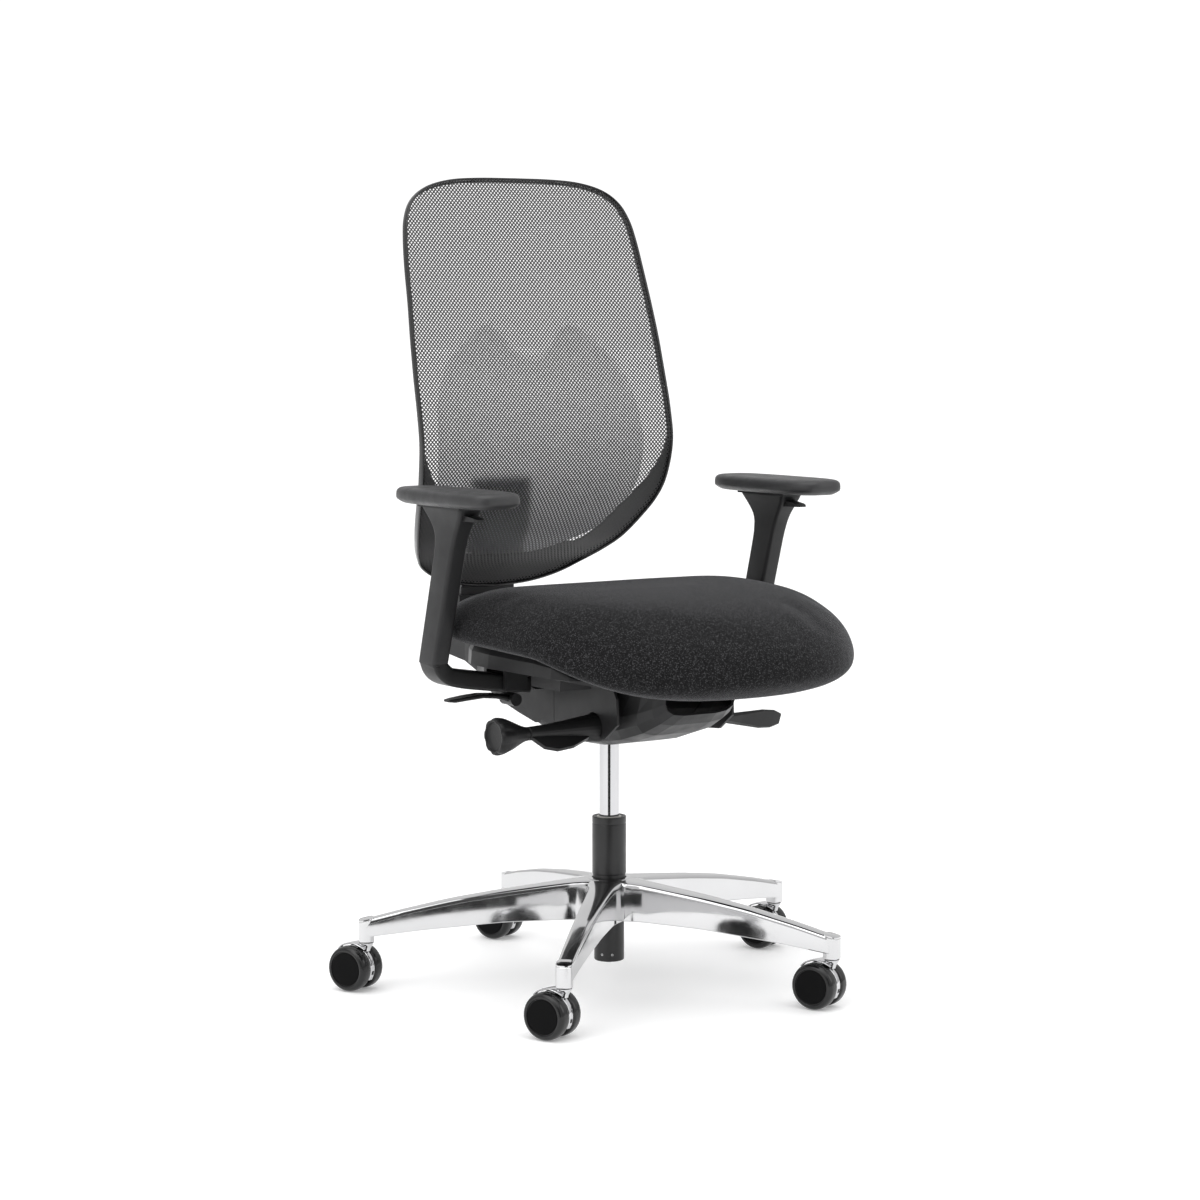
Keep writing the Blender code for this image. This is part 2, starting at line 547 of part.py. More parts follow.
    # spring tension: shaft through the lever, flared grip with a scalloped rim
    shaft_to = x + 0.006
    grip = turned("tension_knob", [
        (0.0, 0.1740), (0.0195, 0.1740), (0.0215, 0.1752), (0.0242, 0.1735), (0.0252, 0.1700), (0.0242, 0.1610), (0.0200, 0.1500),
        (0.0140, 0.1370), (0.0098, 0.1260), (0.0092, 0.1212), (0.0058, 0.1212), (0.0058, -0.0080), (0.0, -0.0080)],
        DARK_PLASTIC, at=(x, LEVER_Y, LEVER_Z), axis="-X", steps=24)
    for k in range(8):
        t = 2 * math.pi * (k + 0.5) / 8
        scallop = rod(f"scallop_{k}", (x - 0.150, LEVER_Y + 0.0315 * math.cos(t), LEVER_Z + 0.0315 * math.sin(t)),
                      (x - 0.180, LEVER_Y + 0.0295 * math.cos(t), LEVER_Z + 0.0295 * math.sin(t)), 0.0075, None, 12, CUTTERS)
        cut(grip, scallop)
        hang(scallop, knob)
    hang(grip, knob)

    # tilt lock paddle on the other side
    x = 0.0822
    hub = turned("tilt_lever", [(0.0, 0.0200), (0.0085, 0.0200), (0.0110, 0.0180), (0.0120, 0.0), (0.0062, 0.0), (0.0062, -0.0100), (0.0, -0.0100)],
                 BLACK_PLASTIC, at=(x, LEVER_Y, LEVER_Z), axis="X", steps=20)
    blade = []
    for px, zc, hz, hy in ((0.090, 0.380, 0.0062, 0.0070), (0.112, 0.3775, 0.0055, 0.0090), (0.150, 0.3745, 0.0105, 0.0050),
                           (0.185, 0.3715, 0.0148, 0.0034), (0.205, 0.3700, 0.0140, 0.0028), (0.2185, 0.3690, 0.0085, 0.0020)):
        blade.append([Vector((px, LEVER_Y + u * 0.90 - v * 0.35, zc + v * 0.93)) for u, v in rounded(hy, hz, min(hy, hz) * 0.8)])
    arm = ring_loft("tilt_blade", blade, None, CUTTERS)
    join(hub, arm)
    hang(hub, paddle), hang(arm, paddle)


# ---------------------------------------------------------------- back carrier and seat carrier
def make_back_carrier(body):
    side = ([(0.045 + 0.0215 * math.cos(math.radians(t)), 0.392 + 0.0215 * math.sin(math.radians(t))) for t in (70, 100, 130, 160, 190, 220, 250, 275)]
            + [(0.090, 0.3800), (0.168, 0.4000), (0.250, 0.4200), (0.290, 0.4310), (0.338, 0.4370), (0.3480, 0.4450), (0.3480, 0.5250),
               (0.3040, 0.5250), (0.3040, 0.4880), (0.2860, 0.4680), (0.2400, 0.4520), (0.1700, 0.4350), (0.1000, 0.4215)])
    carrier = outline("back_carrier", side, 0.10, DARK_PLASTIC)
    half_plan = [(0.092, 0.015), (0.092, 0.150), (0.080, 0.200), (0.060, 0.250), (0.056, 0.290), (0.056, 0.360)]
    notch = [(CHEEK_IN, 0.015), (CHEEK_IN, 0.105), (0.070, 0.125)]
    plan_pts = half_plan + [(-x, y) for x, y in half_plan[::-1]] + [(-x, y) for x, y in notch] + notch[::-1]
    plan = outline("carrier_plan", plan_pts, 0.12, None, CUTTERS, plane="XY", centre=0.45)
    boolean(carrier, plan, "INTERSECT")
    bore = rod("carrier_bore", (-0.12, RECLINE_Y, RECLINE_Z), (0.12, RECLINE_Y, RECLINE_Z), 0.0064, None, 16, CUTTERS)
    slot = box("post_socket", (-NECK_HALF - GAP - 0.0002, 0.3155, 0.4390), (NECK_HALF + GAP + 0.0002, 0.3365, 0.540), None, CUTTERS)
    cut(carrier, bore)
    cut(carrier, slot)
    for ob in (carrier, plan, bore, slot):
        hang(ob, body)


def make_seat_carrier(body):
    rails = box("seat_carrier", (-0.1220, -0.1500, 0.4440), (0.1220, -0.1000, 0.4592), DARK_PLASTIC)
    left = box("rail_l", (0.0980, -0.1750, 0.4445), (0.1220, 0.0850, 0.4590), None, CUTTERS)
    right = box("rail_r", (-0.1220, -0.1750, 0.4445), (-0.0980, 0.0850, 0.4590), None, CUTTERS)
    beam = box("arm_beam", (-0.1650, 0.0080, 0.4500), (0.1650, 0.0620, 0.4588), None, CUTTERS)
    lug_side = arc(TILT_Y, TILT_Z - 0.010, 0.0120, 180, 360, 6) + [(TILT_Y + 0.014, 0.4500), (TILT_Y - 0.014, 0.4500)]
    lug_l = outline("lug_l", lug_side, 0.0035, None, CUTTERS, centre=0.0851)
    lug_r = outline("lug_r", lug_side, 0.0035, None, CUTTERS, centre=-0.0851)
    clamps = []
    for s, tag in ((-1, "r"), (1, "l")):
        for y0, y1 in ((0.0080, 0.0150), (0.0580, 0.0640)):
            x0, x1 = sorted((s * 0.1300, s * 0.1650))
            clamps.append(box(f"bar_clamp_{tag}_{int(y0 * 1000)}", (x0, y0, 0.4240), (x1, y1, 0.4580), None, CUTTERS))
    for s, tag in ((-1, "r"), (1, "l")):
        x0, x1 = sorted((s * 0.1150, s * 0.1650))
        clamps.append(box(f"latch_block_{tag}", (x0, -0.1250, 0.4370), (x1, -0.0550, 0.4585), None, CUTTERS))
    for ob in (left, right, beam, lug_l, lug_r, *clamps):
        join(rails, ob)
    bore = rod("lug_bore", (-0.12, TILT_Y, TILT_Z - 0.010), (0.12, TILT_Y, TILT_Z - 0.010), 0.0053, None, 16, CUTTERS)
    cut(rails, bore)
    for ob in (rails, left, right, beam, lug_l, lug_r, bore, *clamps):
        hang(ob, body)


# ---------------------------------------------------------------- seat
def seat_q(y, a, b, c):
    """Quadratic through front, middle and rear values."""
    t = (y - SEAT_FRONT) / (SEAT_REAR - SEAT_FRONT)
    return a * (1 - t) * (1 - 2 * t) + b * 4 * t * (1 - t) + c * t * (2 * t - 1)


def seat_floor(y):
    """Underside of the cushion: flat on its pan, rolling down at the front edge."""
    return float(np.interp(y, [-0.36, -0.33, -0.29, -0.25, -0.21, -0.17, 0.12],
                           [0.432, 0.4235, 0.4290, 0.4450, 0.4660, 0.4840, 0.4890]))


def superellipse(t, n_front, n_rear):
    c, s = math.cos(t), math.sin(t)
    n = n_front if s < 0 else n_rear
    r = (abs(c) ** n + abs(s) ** n) ** (-1 / n)
    return c * r, s * r


def seat_rings(count, levels):
    yc, hd = (SEAT_FRONT + SEAT_REAR) / 2, (SEAT_REAR - SEAT_FRONT) / 2
    rings = []
    for v in levels:
        ring = []
        for i in range(count):
            t = 2 * math.pi * i / count
            fx, fy = superellipse(t, 2.3, 3.6)
            s = math.cos(v) ** 0.55
            h = math.sin(abs(v)) ** 0.9
            x, y = SEAT_HALF * fx * s, yc + hd * fy * s
            waist = seat_q(y, 0.4743, 0.4961, 0.5165)
            if v >= 0:
                z = waist + h * seat_q(y, 0.0620, 0.0726, 0.0365)
            else:
                z = waist + h * (seat_floor(y) - waist)
            ring.append((x, y, z))
        rings.append(ring)
    return rings


def make_seat(body):
    lv = [math.radians(a) for a in (-89.3, -86, -78, -67, -52, -34, -17, 0, 20, 42, 62, 76, 86)]
    cushion = ring_loft("seat_cushion", seat_rings(32, lv), SEAT_CLOTH)
    hang(cushion, body)

    # pan: pressed tray, open below, with two runners that slide on the carrier
    rows = []
    for y in (-0.2120, -0.1900, -0.1600, -0.1200, -0.0700, -0.0100, 0.0400, 0.0700, 0.0850):
        half = PAN_HALF * (1 - abs((y + 0.0650) / 0.1640) ** 5) ** 0.2
        zt = min(PAN_Z1, seat_floor(y - 0.018) - 0.0015)
        wall = [(half, PAN_Z0), (half - 0.0015, PAN_Z0 + 0.72 * (zt - PAN_Z0)), (half - 0.0060, zt), (0.55 * half, zt), (0.0, zt)]
        rows.append([(-x, y, z) for x, z in wall] + [(x, y, z) for x, z in wall[-2::-1]])
    rows.append([(x * 0.985, 0.0880, PAN_Z0 + 0.0008) for x, y, z in rows[-1]])
    pan = sheet("seat_pan", rows, DARK_PLASTIC, 0.0030, offset=-1.0)
    for tag, s in (("l", 1), ("r", -1)):
        rail = box(f"runner_{tag}", (s * 0.110 - 0.008, -0.150, PAN_Z0), (s * 0.110 + 0.008, 0.055, 0.4795), None, CUTTERS)
        join(pan, rail)
        hang(rail, body)
    hang(pan, body)


# ---------------------------------------------------------------- back
def back_y(z):
    zs, ys = zip(*BACK_SIDE_FINE)
    return float(np.interp(z, zs, ys))


BACK_SIDE_FINE = [tuple(p) for p in catmull(BACK_SIDE, 6)]


def belly(z):
    """How far the middle of the mesh lies behind its edges."""
    return float(np.interp(z, [0.53, 0.70, 0.85, 1.13], [0.003, 0.004, 0.009, 0.010]))


def back_loop(per):
    half = catmull([(w, z) for z, w in BACK_HALF], per)
    loop = [(x, z) for x, z in half] + [(-x, z) for x, z in half[-2:0:-1]]
    return loop


def loop_frames(loop):
    """Position, inward normal and rearward depth direction round the loop."""
    pts = [Vector((x, back_y(z), z)) for x, z in loop]
    out = []
    for i, p in enumerate(pts):
        t = (pts[(i + 1) % len(pts)] - pts[i - 1]).normalized()
        slope = (back_y(p.z + 0.004) - back_y(p.z - 0.004)) / 0.008
        depth = Vector((0, 1, -slope)).normalized()
        inward = depth.cross(t).normalized()
        if inward.dot(Vector((0, 0, 0.83)) - Vector((p.x, 0, p.z))) < 0:
            inward = -inward
        out.append((p, inward, depth))
    return out


def band(z):
    """Width of the moulded band inside the lower half of the frame."""
    return float(np.interp(z, [0.53, 0.60, 0.64, 0.67, 0.70, 0.73, 0.76, 1.2],
                           [0.0450, 0.0440, 0.0400, 0.0330, 0.0210, 0.0090, 0.0030, 0.0030]))


def band_rear(z):
    """Depth of the band's rear face at a height, across the width of the neck."""
    deepest = 0.0
    for p, inward, depth in loop_frames(back_loop(1)):
        if p.z < 0.56:
            slope = -depth.z / depth.y
            deepest = max(deepest, p.y + slope * (z - p.z) + 0.0110 * math.sqrt(1 + slope * slope))
    return deepest


def make_back(body):
    rings = []
    for p, inward, depth in loop_frames(back_loop(1)):
        w = band(p.z)
        sec = [(0.0016, -0.0030), (0.0, -0.0008), (0.0, 0.0092), (0.0018, 0.0110), (BEAD_W + w, 0.0110), (BEAD_W + w, 0.0078),
               (BEAD_W, 0.0078), (BEAD_W, -0.0014), (BEAD_W - 0.0016, -0.0030)]
        rings.append([p + inward * a + depth * b for a, b in sec])
    frame = ring_loft("back_frame", rings, GLOSS_BLACK, closed_path=True)
    hang(frame, body)

    # mesh cloth: polar sheet inside the frame, drawn back a little in the middle
    edge = [(p + inward * (BEAD_W + 0.0012), depth) for p, inward, depth in loop_frames(back_loop(1))]
    centre = Vector((0, 0, 0.845))
    n = len(edge)
    bm = bmesh.new()
    grid = []
    for s in (1.0, 0.90, 0.70, 0.45, 0.20):
        row = []
        for p, depth in edge:
            x, z = p.x * s, centre.z + (p.z - centre.z) * s
            row.append(bm.verts.new((x, back_y(z) + 0.0012 + belly(z) * (1 - s * s), z)))
        grid.append(row)
    hub = bm.verts.new((0, back_y(centre.z) + 0.0012 + belly(centre.z), centre.z))
    for a, b in zip(grid, grid[1:]):
        for j in range(n):
            bm.faces.new((a[j], a[(j + 1) % n], b[(j + 1) % n], b[j]))
    for j in range(n):
        bm.faces.new((grid[-1][j], grid[-1][(j + 1) % n], hub))
    bmesh.ops.recalc_face_normals(bm, faces=bm.faces)
    mesh = bpy.data.meshes.new("back_mesh")
    bm.to_mesh(mesh)
    bm.free()
    mesh.shade_smooth()
    mesh_ob = new_object("back_mesh", mesh, MESH_CLOTH)
    m = mesh_ob.modifiers.new("cloth", "SOLIDIFY")
    m.thickness, m.offset = MESH_T, 0.0
    hang(mesh_ob, body)

    # lumbar shell: a two-lobed flexible panel just behind the mesh
    rows = []
    levels = 11
    for i in range(levels):
        t = i / (levels - 1)
        row = []
        for j in range(13):
            u = -1 + 2 * j / 12
            x, z = lumbar_xz(u, t)
            row.append((x, back_y(z) + belly(z) + 0.0135, z))
        rows.append(row)
    hang(sheet("lumbar_support", rows, GREY_PANEL, 0.0024, offset=0.0), body)

    # upright: tail in the carrier's socket, neck, then forward to the lumbar shell
    boss = [(band_rear(z) + 0.0008, z) for z in (0.5520, 0.5640, 0.5760, 0.5880)]
    front = [(0.3160, 0.4420), (0.3160, 0.5350)] + boss + catmull([(0.2930, 0.5960), (0.2760, 0.6200), (0.2700, 0.6500), (0.2690, 0.6960)], 2)
    rear = catmull([(0.2860, 0.6960), (0.2890, 0.6500), (0.2960, 0.6280), (0.3150, 0.5980), (0.3320, 0.5640), (0.3360, 0.5350), (0.3360, 0.4420)], 2)
    post = outline("back_post", [(y, z) for y, z in front] + [(y, z) for y, z in rear], NECK_HALF, DARK_PLASTIC)
    hang(post, body)


def lumbar_edge(z):
    """Half width of the lumbar shell at a height."""
    return float(np.interp(z, [0.600, 0.620, 0.660, 0.700, 0.750, 0.805, 0.831, 0.867, 0.900, 0.930],
                           [0.060, 0.098, 0.134, 0.160, 0.1730, 0.1690, 0.1610, 0.1440, 0.124, 0.108]))


def lumbar_xz(u, t):
    z0 = 0.6130 + 0.082 * abs(u) ** 2.2
    valley = 0.5 + 0.5 * math.cos(math.pi * min(abs(u) / 0.62, 1.0))
    shoulder = max(abs(u) - 0.62, 0.0) / 0.38
    lobe = 0.926 - 0.105 * valley - 0.060 * shoulder ** 2
    z = z0 + (lobe - z0) * t
    return u * lumbar_edge(z), z


# ---------------------------------------------------------------- arms
def post_y(z):
    return POST_Y0 + POST_SLOPE * (z - POST_Z0)


def make_arm(side, tag, bracket_body, lock_body, sleeve_body, trigger_body, plate_body, pad_body):
    s = side

    def mirror(p):
        return Vector((s * p[0], p[1], p[2]))

    # bracket: bar under the seat, elbow, and the post inside the sleeve
    stations = [(0.1180, 0.0360, 0.4275, 0.0110, 0.0190), (0.1500, 0.0365, 0.4315, 0.0120, 0.0195), (0.2000, 0.0370, 0.4385, 0.0125, 0.0200),
                (0.2300, 0.0365, 0.4435, 0.0125, 0.0205), (0.2490, 0.0350, 0.4490, 0.0122, 0.0205), (0.2610, 0.0320, 0.4580, 0.0118, 0.0205),
                (0.2665, 0.0305, 0.4672, 0.0112, 0.0203), (0.2670, 0.0297, 0.4702, 0.0112, 0.0203)]
    path = [Vector(p[:3]) for p in stations]
    rings = []
    for i, st in enumerate(stations):
        t = (path[min(i + 1, len(path) - 1)] - path[max(i - 1, 0)]).normalized()
        depth = (Vector((0, 1, 0)) - t * t.y).normalized()
        up = t.cross(depth).normalized()
        if i >= len(stations) - 2:      # cut level, as the sleeve's mouth is
            depth, up = Vector((0, 1, 0)), Vector((-1, 0, 0))
        rings.append([mirror(path[i] + up * a + depth * b) for a, b in rounded(st[3], st[4], 0.0042)])
    for z in (0.4706, 0.5400, 0.6150):
        rings.append([mirror((ARM_X - a, post_y(z) + b, z)) for a, b in rounded(0.0090, 0.0177, 0.0030)])
    hang(ring_loft(f"arm_bracket_{tag}", rings, BLACK_PLASTIC), bracket_body)

    # width lock: cam lever under the bar
    boss = rod(f"width_lever_{tag}", mirror((LOCK_X, LOCK_Y - 0.015, LOCK_Z)), mirror((LOCK_X, LOCK_Y + 0.015, LOCK_Z)), 0.0090, BLACK_PLASTIC, 16)
    blade = []
    for x, z, h, w in ((0.1430, 0.4095, 0.0050, 0.0100), (0.1660, 0.4145, 0.0034, 0.0110), (0.1900, 0.4165, 0.0028, 0.0120),
                       (0.2130, 0.4150, 0.0028, 0.0120), (0.2340, 0.4130, 0.0026, 0.0105), (0.2430, 0.4130, 0.0016, 0.0070)):
        blade.append([mirror((x, LOCK_Y + a, z + b)) for a, b in rounded(w, h, h * 0.7)])
    arm = ring_loft(f"lock_blade_{tag}", blade, None, CUTTERS)
    join(boss, arm)
    hang(boss, lock_body), hang(arm, lock_body)

    # sleeve with its T head, cut level at both ends
    rings = []
    for z, hx, hy, dy in ((SLEEVE_BOT, 0.0125, 0.0212, 0), (0.5500, 0.0125, 0.0218, 0), (0.6200, 0.0126, 0.0228, 0), (0.6430, 0.0130, 0.0262, 0.001),
                          (0.6580, 0.0142, 0.0345, 0.004), (0.6690, 0.0162, 0.0425, 0.007), (SLEEVE_TOP, 0.0185, 0.0480, 0.0115)):
        rings.append([mirror((ARM_X + a, post_y(z) + dy + b, z)) for a, b in rounded(hx, hy, 0.0045)])
    sleeve = ring_loft(f"arm_sleeve_{tag}", rings, DARK_PLASTIC)
    bore = ring_loft(f"sleeve_bore_{tag}", [[mirror((ARM_X + a, post_y(z) + b, z)) for a, b in rounded(0.0094, 0.0182, 0.0030)] for z in (0.460, 0.640)],
                     None, CUTTERS)
    slot = box(f"trigger_slot_{tag}", (s * ARM_X - 0.0092, -0.0900, 0.6590), (s * ARM_X + 0.0092, -0.0415, 0.6742), None, CUTTERS)
    cut(sleeve, bore)
    cut(sleeve, slot)
    for ob in (sleeve, bore, slot):
        hang(ob, sleeve_body)

    # height trigger under the front of the pad
    rings = []
    for y, zt, zb, w in ((-0.0430, 0.6722, 0.6640, 0.0086), (-0.0560, 0.6722, 0.6632, 0.0086), (-0.0720, 0.6706, 0.6640, 0.0082),
                         (-0.0860, 0.6686, 0.6640, 0.0074), (-0.0925, 0.6672, 0.6642, 0.0052)):
        rings.append([(s * ARM_X - w, y, zb), (s * ARM_X + w, y, zb), (s * ARM_X + w, y, zt), (s * ARM_X - w, y, zt)])
    hang(ring_loft(f"arm_trigger_{tag}", rings, BLACK_PLASTIC), trigger_body)

    plate = box(f"pad_plate_{tag}", (s * ARM_X - 0.0260, PAD_Y - 0.050, 0.6801), (s * ARM_X + 0.0260, PAD_Y + 0.055, 0.6828), BLACK_PLASTIC)
    hang(plate, plate_body)

    rings = []
    for z, g in ((PAD_Z0, -0.0030), (PAD_Z0 + 0.0030, 0.0), (PAD_Z0 + 0.0120, 0.0), (PAD_Z0 + 0.0175, -0.0016), (PAD_Z0 + 0.0205, -0.0065), (PAD_Z1, -0.0150)):
        rings.append([(s * ARM_X + (PAD_WID / 2 + g) * superellipse(2 * math.pi * i / 24, 3.0, 3.0)[0],
                       PAD_Y + (PAD_LEN / 2 + g) * superellipse(2 * math.pi * i / 24, 3.0, 3.0)[1], z) for i in range(24)])
    hang(ring_loft(f"arm_pad_{tag}", rings, SOFT_PAD), pad_body)


# ---------------------------------------------------------------- the chair
make_base(FRAME)
for k in range(5):
    make_caster(k + 1, ARM_ANGLE_0 + 72 * k)

SWIVEL = axis_empty("swivel_axis", (0, 0, 0))
LIFT = axis_empty("lift_axis", (0, 0, 0), SWIVEL)
PIN = axis_empty("release_pin_axis", (0, 0, GAS_TOP), LIFT)
LEVER = axis_empty("height_lever_axis", (-0.0822, LEVER_Y, LEVER_Z), LIFT)
KNOB = axis_empty("tension_axis", (-0.0822, LEVER_Y, LEVER_Z), LIFT)
PADDLE = axis_empty("tilt_lever_axis", (0.0822, LEVER_Y, LEVER_Z), LIFT)
RECLINE = axis_empty("recline_axis", (0, RECLINE_Y, RECLINE_Z), LIFT)
BACK = axis_empty("back_height_axis", (0, 0.326, 0.480), RECLINE)
TILT = axis_empty("seat_tilt_axis", (0, TILT_Y, TILT_Z - 0.010), LIFT)
DEPTH = axis_empty("seat_depth_axis", (0, TILT_Y, PAN_Z0), TILT)

make_column(FRAME, SWIVEL, LIFT, PIN)
make_mechanism(LIFT, LEVER, KNOB, PADDLE)
make_back_carrier(RECLINE)
make_back(BACK)
make_seat_carrier(TILT)
make_seat(DEPTH)
for side, tag in ((-1, "r"), (1, "l")):
    width = axis_empty(f"arm_width_axis_{tag}", (side * ARM_X, LOCK_Y, 0.4400), TILT)
    lock = axis_empty(f"width_lock_axis_{tag}", (side * LOCK_X, LOCK_Y, LOCK_Z), width)
    height = axis_empty(f"arm_height_axis_{tag}", (side * ARM_X, post_y(SLEEVE_BOT), SLEEVE_BOT), width)
    trigger = axis_empty(f"arm_trigger_axis_{tag}", (side * ARM_X, -0.0480, 0.6682), height)
    slide = axis_empty(f"pad_slide_axis_{tag}", (side * ARM_X, PAD_Y, 0.6815), height)
    swivel = axis_empty(f"pad_swivel_axis_{tag}", (side * ARM_X, PAD_Y, 0.6830), slide)
    make_arm(side, tag, width, lock, height, trigger, slide, swivel)
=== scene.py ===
"""Looks for the swivel office chair: refined pieces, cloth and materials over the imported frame."""
import math

import bmesh
import bpy
import numpy as np
from mathutils import Matrix, Vector


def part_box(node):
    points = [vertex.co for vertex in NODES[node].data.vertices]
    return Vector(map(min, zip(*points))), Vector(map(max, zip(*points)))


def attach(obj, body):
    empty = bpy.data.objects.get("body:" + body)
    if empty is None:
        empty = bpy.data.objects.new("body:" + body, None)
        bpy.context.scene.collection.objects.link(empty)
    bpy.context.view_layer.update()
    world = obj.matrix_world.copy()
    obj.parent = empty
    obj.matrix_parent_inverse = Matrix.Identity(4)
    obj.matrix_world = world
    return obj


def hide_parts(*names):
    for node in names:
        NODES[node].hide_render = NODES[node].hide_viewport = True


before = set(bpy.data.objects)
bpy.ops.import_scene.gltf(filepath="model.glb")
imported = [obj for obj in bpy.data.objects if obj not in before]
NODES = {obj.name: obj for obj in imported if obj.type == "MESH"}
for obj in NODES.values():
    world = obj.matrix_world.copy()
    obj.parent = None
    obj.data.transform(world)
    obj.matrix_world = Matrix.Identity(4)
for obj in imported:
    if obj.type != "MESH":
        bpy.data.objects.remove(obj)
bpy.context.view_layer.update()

_lo, _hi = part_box("column_tube")
S = Vector(((_lo.x + _hi.x) / 2, (_lo.y + _hi.y) / 2, 0.0))    # column axis in the row frame

# driving dimensions, as in the CAD, in metres from the column axis
STEM_R, ARM_ANGLE_0 = 0.340, -44.3
WHEEL_R, WHEEL_IN, WHEEL_OUT, TRAIL, TRAIL_ANGLE = 0.0315, 0.0056, 0.0245, 0.019, 22.5
TUBE_TOP, TUBE_BOT, TUBE_R, TUBE_R_LOW = 0.238, 0.0340, 0.0238, 0.0210
GAS_R, GAS_BOT, GAS_TOP = 0.0140, 0.1480, 0.3850
HUB_R, HUB_TOP, HUB_BOT = 0.033, 0.1513, 0.0935
GAP_ANGLE = -24.0      # the dark gap between soft boxes, degrees from -Y towards +X
ARM_X, POST_SLOPE, POST_Y0, POST_Z0 = 0.267, -0.287, 0.007, 0.548
SLEEVE_BOT, SLEEVE_TOP = 0.472, 0.6797
PAD_LEN, PAD_WID, PAD_Z0, PAD_Z1, PAD_Y = 0.236, 0.088, 0.6831, 0.7050, -0.029
LEVER_Y, LEVER_Z = -0.104, 0.381
BEAD_W = 0.0036
BACK_HALF = [(1.1278, 0.0), (1.1272, 0.060), (1.1235, 0.110), (1.1130, 0.150),
             (1.0950, 0.176), (1.0700, 0.190), (1.0400, 0.1965), (1.0000, 0.2010),
             (0.9500, 0.2050), (0.9000, 0.2090), (0.8500, 0.2115), (0.8000, 0.2130),
             (0.7500, 0.2130), (0.7050, 0.2095), (0.6700, 0.2030), (0.6400, 0.1920),
             (0.6100, 0.1770), (0.5900, 0.1610), (0.5700, 0.1370), (0.5530, 0.1030),
             (0.5415, 0.0560), (0.5370, 0.0)]
BACK_SIDE = [(0.530, 0.3010), (0.545, 0.2930), (0.570, 0.2760), (0.590, 0.2490),
             (0.610, 0.2230), (0.640, 0.1950), (0.670, 0.1710), (0.700, 0.1560),
             (0.750, 0.1470), (0.800, 0.1540), (0.850, 0.1660), (0.900, 0.1780),
             (0.950, 0.1910), (1.000, 0.2060), (1.050, 0.2200), (1.130, 0.2430)]

COL = bpy.data.collections.new("looks")
bpy.context.scene.collection.children.link(COL)


# ------------------------------------------------------------------ camera
def make_camera():
    """Camera at the photographed viewpoint: 34.5 degrees off the chair's front, 5.6 degrees down."""
    psi, pan, pitch, dist, height = math.radians(34.5), -0.003, 0.097, 4.2660, 0.9551

    def turn(v):
        c, s = math.cos(-psi), math.sin(-psi)
        return Vector((c * v[0] - s * v[1], s * v[0] + c * v[1], v[2]))
    pos = turn((0, -dist, height))
    fw = turn((math.sin(pan) * math.cos(pitch), math.cos(pan) * math.cos(pitch), -math.sin(pitch)))
    rt = turn((math.cos(pan), -math.sin(pan), 0))
    up = rt.cross(fw)
    cam = bpy.data.cameras.new("camera")
    cam.sensor_width, cam.sensor_height, cam.sensor_fit = 36.0, 36.0, "HORIZONTAL"
    cam.lens = 3090.1 / 1200 * 36.0
    cam.clip_end = 60
    ob = bpy.data.objects.new("camera", cam)
    COL.objects.link(ob)
    m = Matrix((rt, up, -fw)).transposed().to_4x4()
    m.translation = pos + S
    ob.matrix_world = m
    bpy.context.scene.camera = ob


make_camera()


# ------------------------------------------------------------------ materials
class Nodes:
    """A short way to write node trees."""

    def __init__(self, name):
        self.mat = bpy.data.materials.new(name)
        self.mat.use_nodes = True
        self.t = self.mat.node_tree
        self.bsdf = self.t.nodes["Principled BSDF"]
        tc = self.t.nodes.new("ShaderNodeTexCoord")
        self.obj = tc.outputs["Object"]

    def n(self, kind, **sockets):
        node = self.t.nodes.new("ShaderNode" + kind)
        for k, v in sockets.items():
            k = k.replace("_", " ")
            sock = node.inputs[k] if k in node.inputs else None
            if sock is None:
                continue
            if hasattr(v, "is_output") or isinstance(v, bpy.types.NodeSocket):
                self.t.links.new(v, sock)
            else:
                sock.default_value = v
        return node

    def link(self, a, b):
        self.t.links.new(a, b)

    def noise(self, scale, detail=2.0, rough=0.5, vec=None):
        nd = self.n("TexNoise", Scale=scale, Detail=detail, Roughness=rough)
        self.link(vec or self.obj, nd.inputs["Vector"])
        return nd.outputs["Fac"]

    def voronoi(self, scale, feature="F1", vec=None, rand=1.0):
        nd = self.n("TexVoronoi", Scale=scale, Randomness=rand)
        nd.feature = feature
        self.link(vec or self.obj, nd.inputs["Vector"])
        return nd

    def ramp(self, fac, stops):
        nd = self.n("ValToRGB")
        self.link(fac, nd.inputs["Fac"])
        el = nd.color_ramp.elements
        while len(el) < len(stops):
            el.new(0.5)
        for e, (p, c) in zip(el, stops):
            e.position = p
            e.color = (*c, 1.0) if isinstance(c, tuple) else (c, c, c, 1.0)
        return nd.outputs["Color"]

    def span(self, fac, lo, hi, a=0.0, b=1.0):
        nd = self.n("MapRange")
        nd.inputs["From Min"].default_value, nd.inputs["From Max"].default_value = a, b
        nd.inputs["To Min"].default_value, nd.inputs["To Max"].default_value = lo, hi
        self.link(fac, nd.inputs["Value"])
        return nd.outputs["Result"]

    def math(self, op, a, b):
        nd = self.n("Math")
        nd.operation = op
        for i, v in enumerate((a, b)):
            if isinstance(v, (int, float)):
                nd.inputs[i].default_value = v
            else:
                self.link(v, nd.inputs[i])
        return nd.outputs[0]

    def bump(self, height, strength, distance, normal=None):
        nd = self.n("Bump", Strength=strength, Distance=distance)
        self.link(height, nd.inputs["Height"])
        if normal:
            self.link(normal, nd.inputs["Normal"])
        return nd.outputs["Normal"]

    def scaled(self, x, y, z, rot=(0, 0, 0)):
        nd = self.n("Mapping")
        nd.inputs["Scale"].default_value = (x, y, z)
        nd.inputs["Rotation"].default_value = rot
        self.link(self.obj, nd.inputs["Vector"])
        return nd.outputs["Vector"]


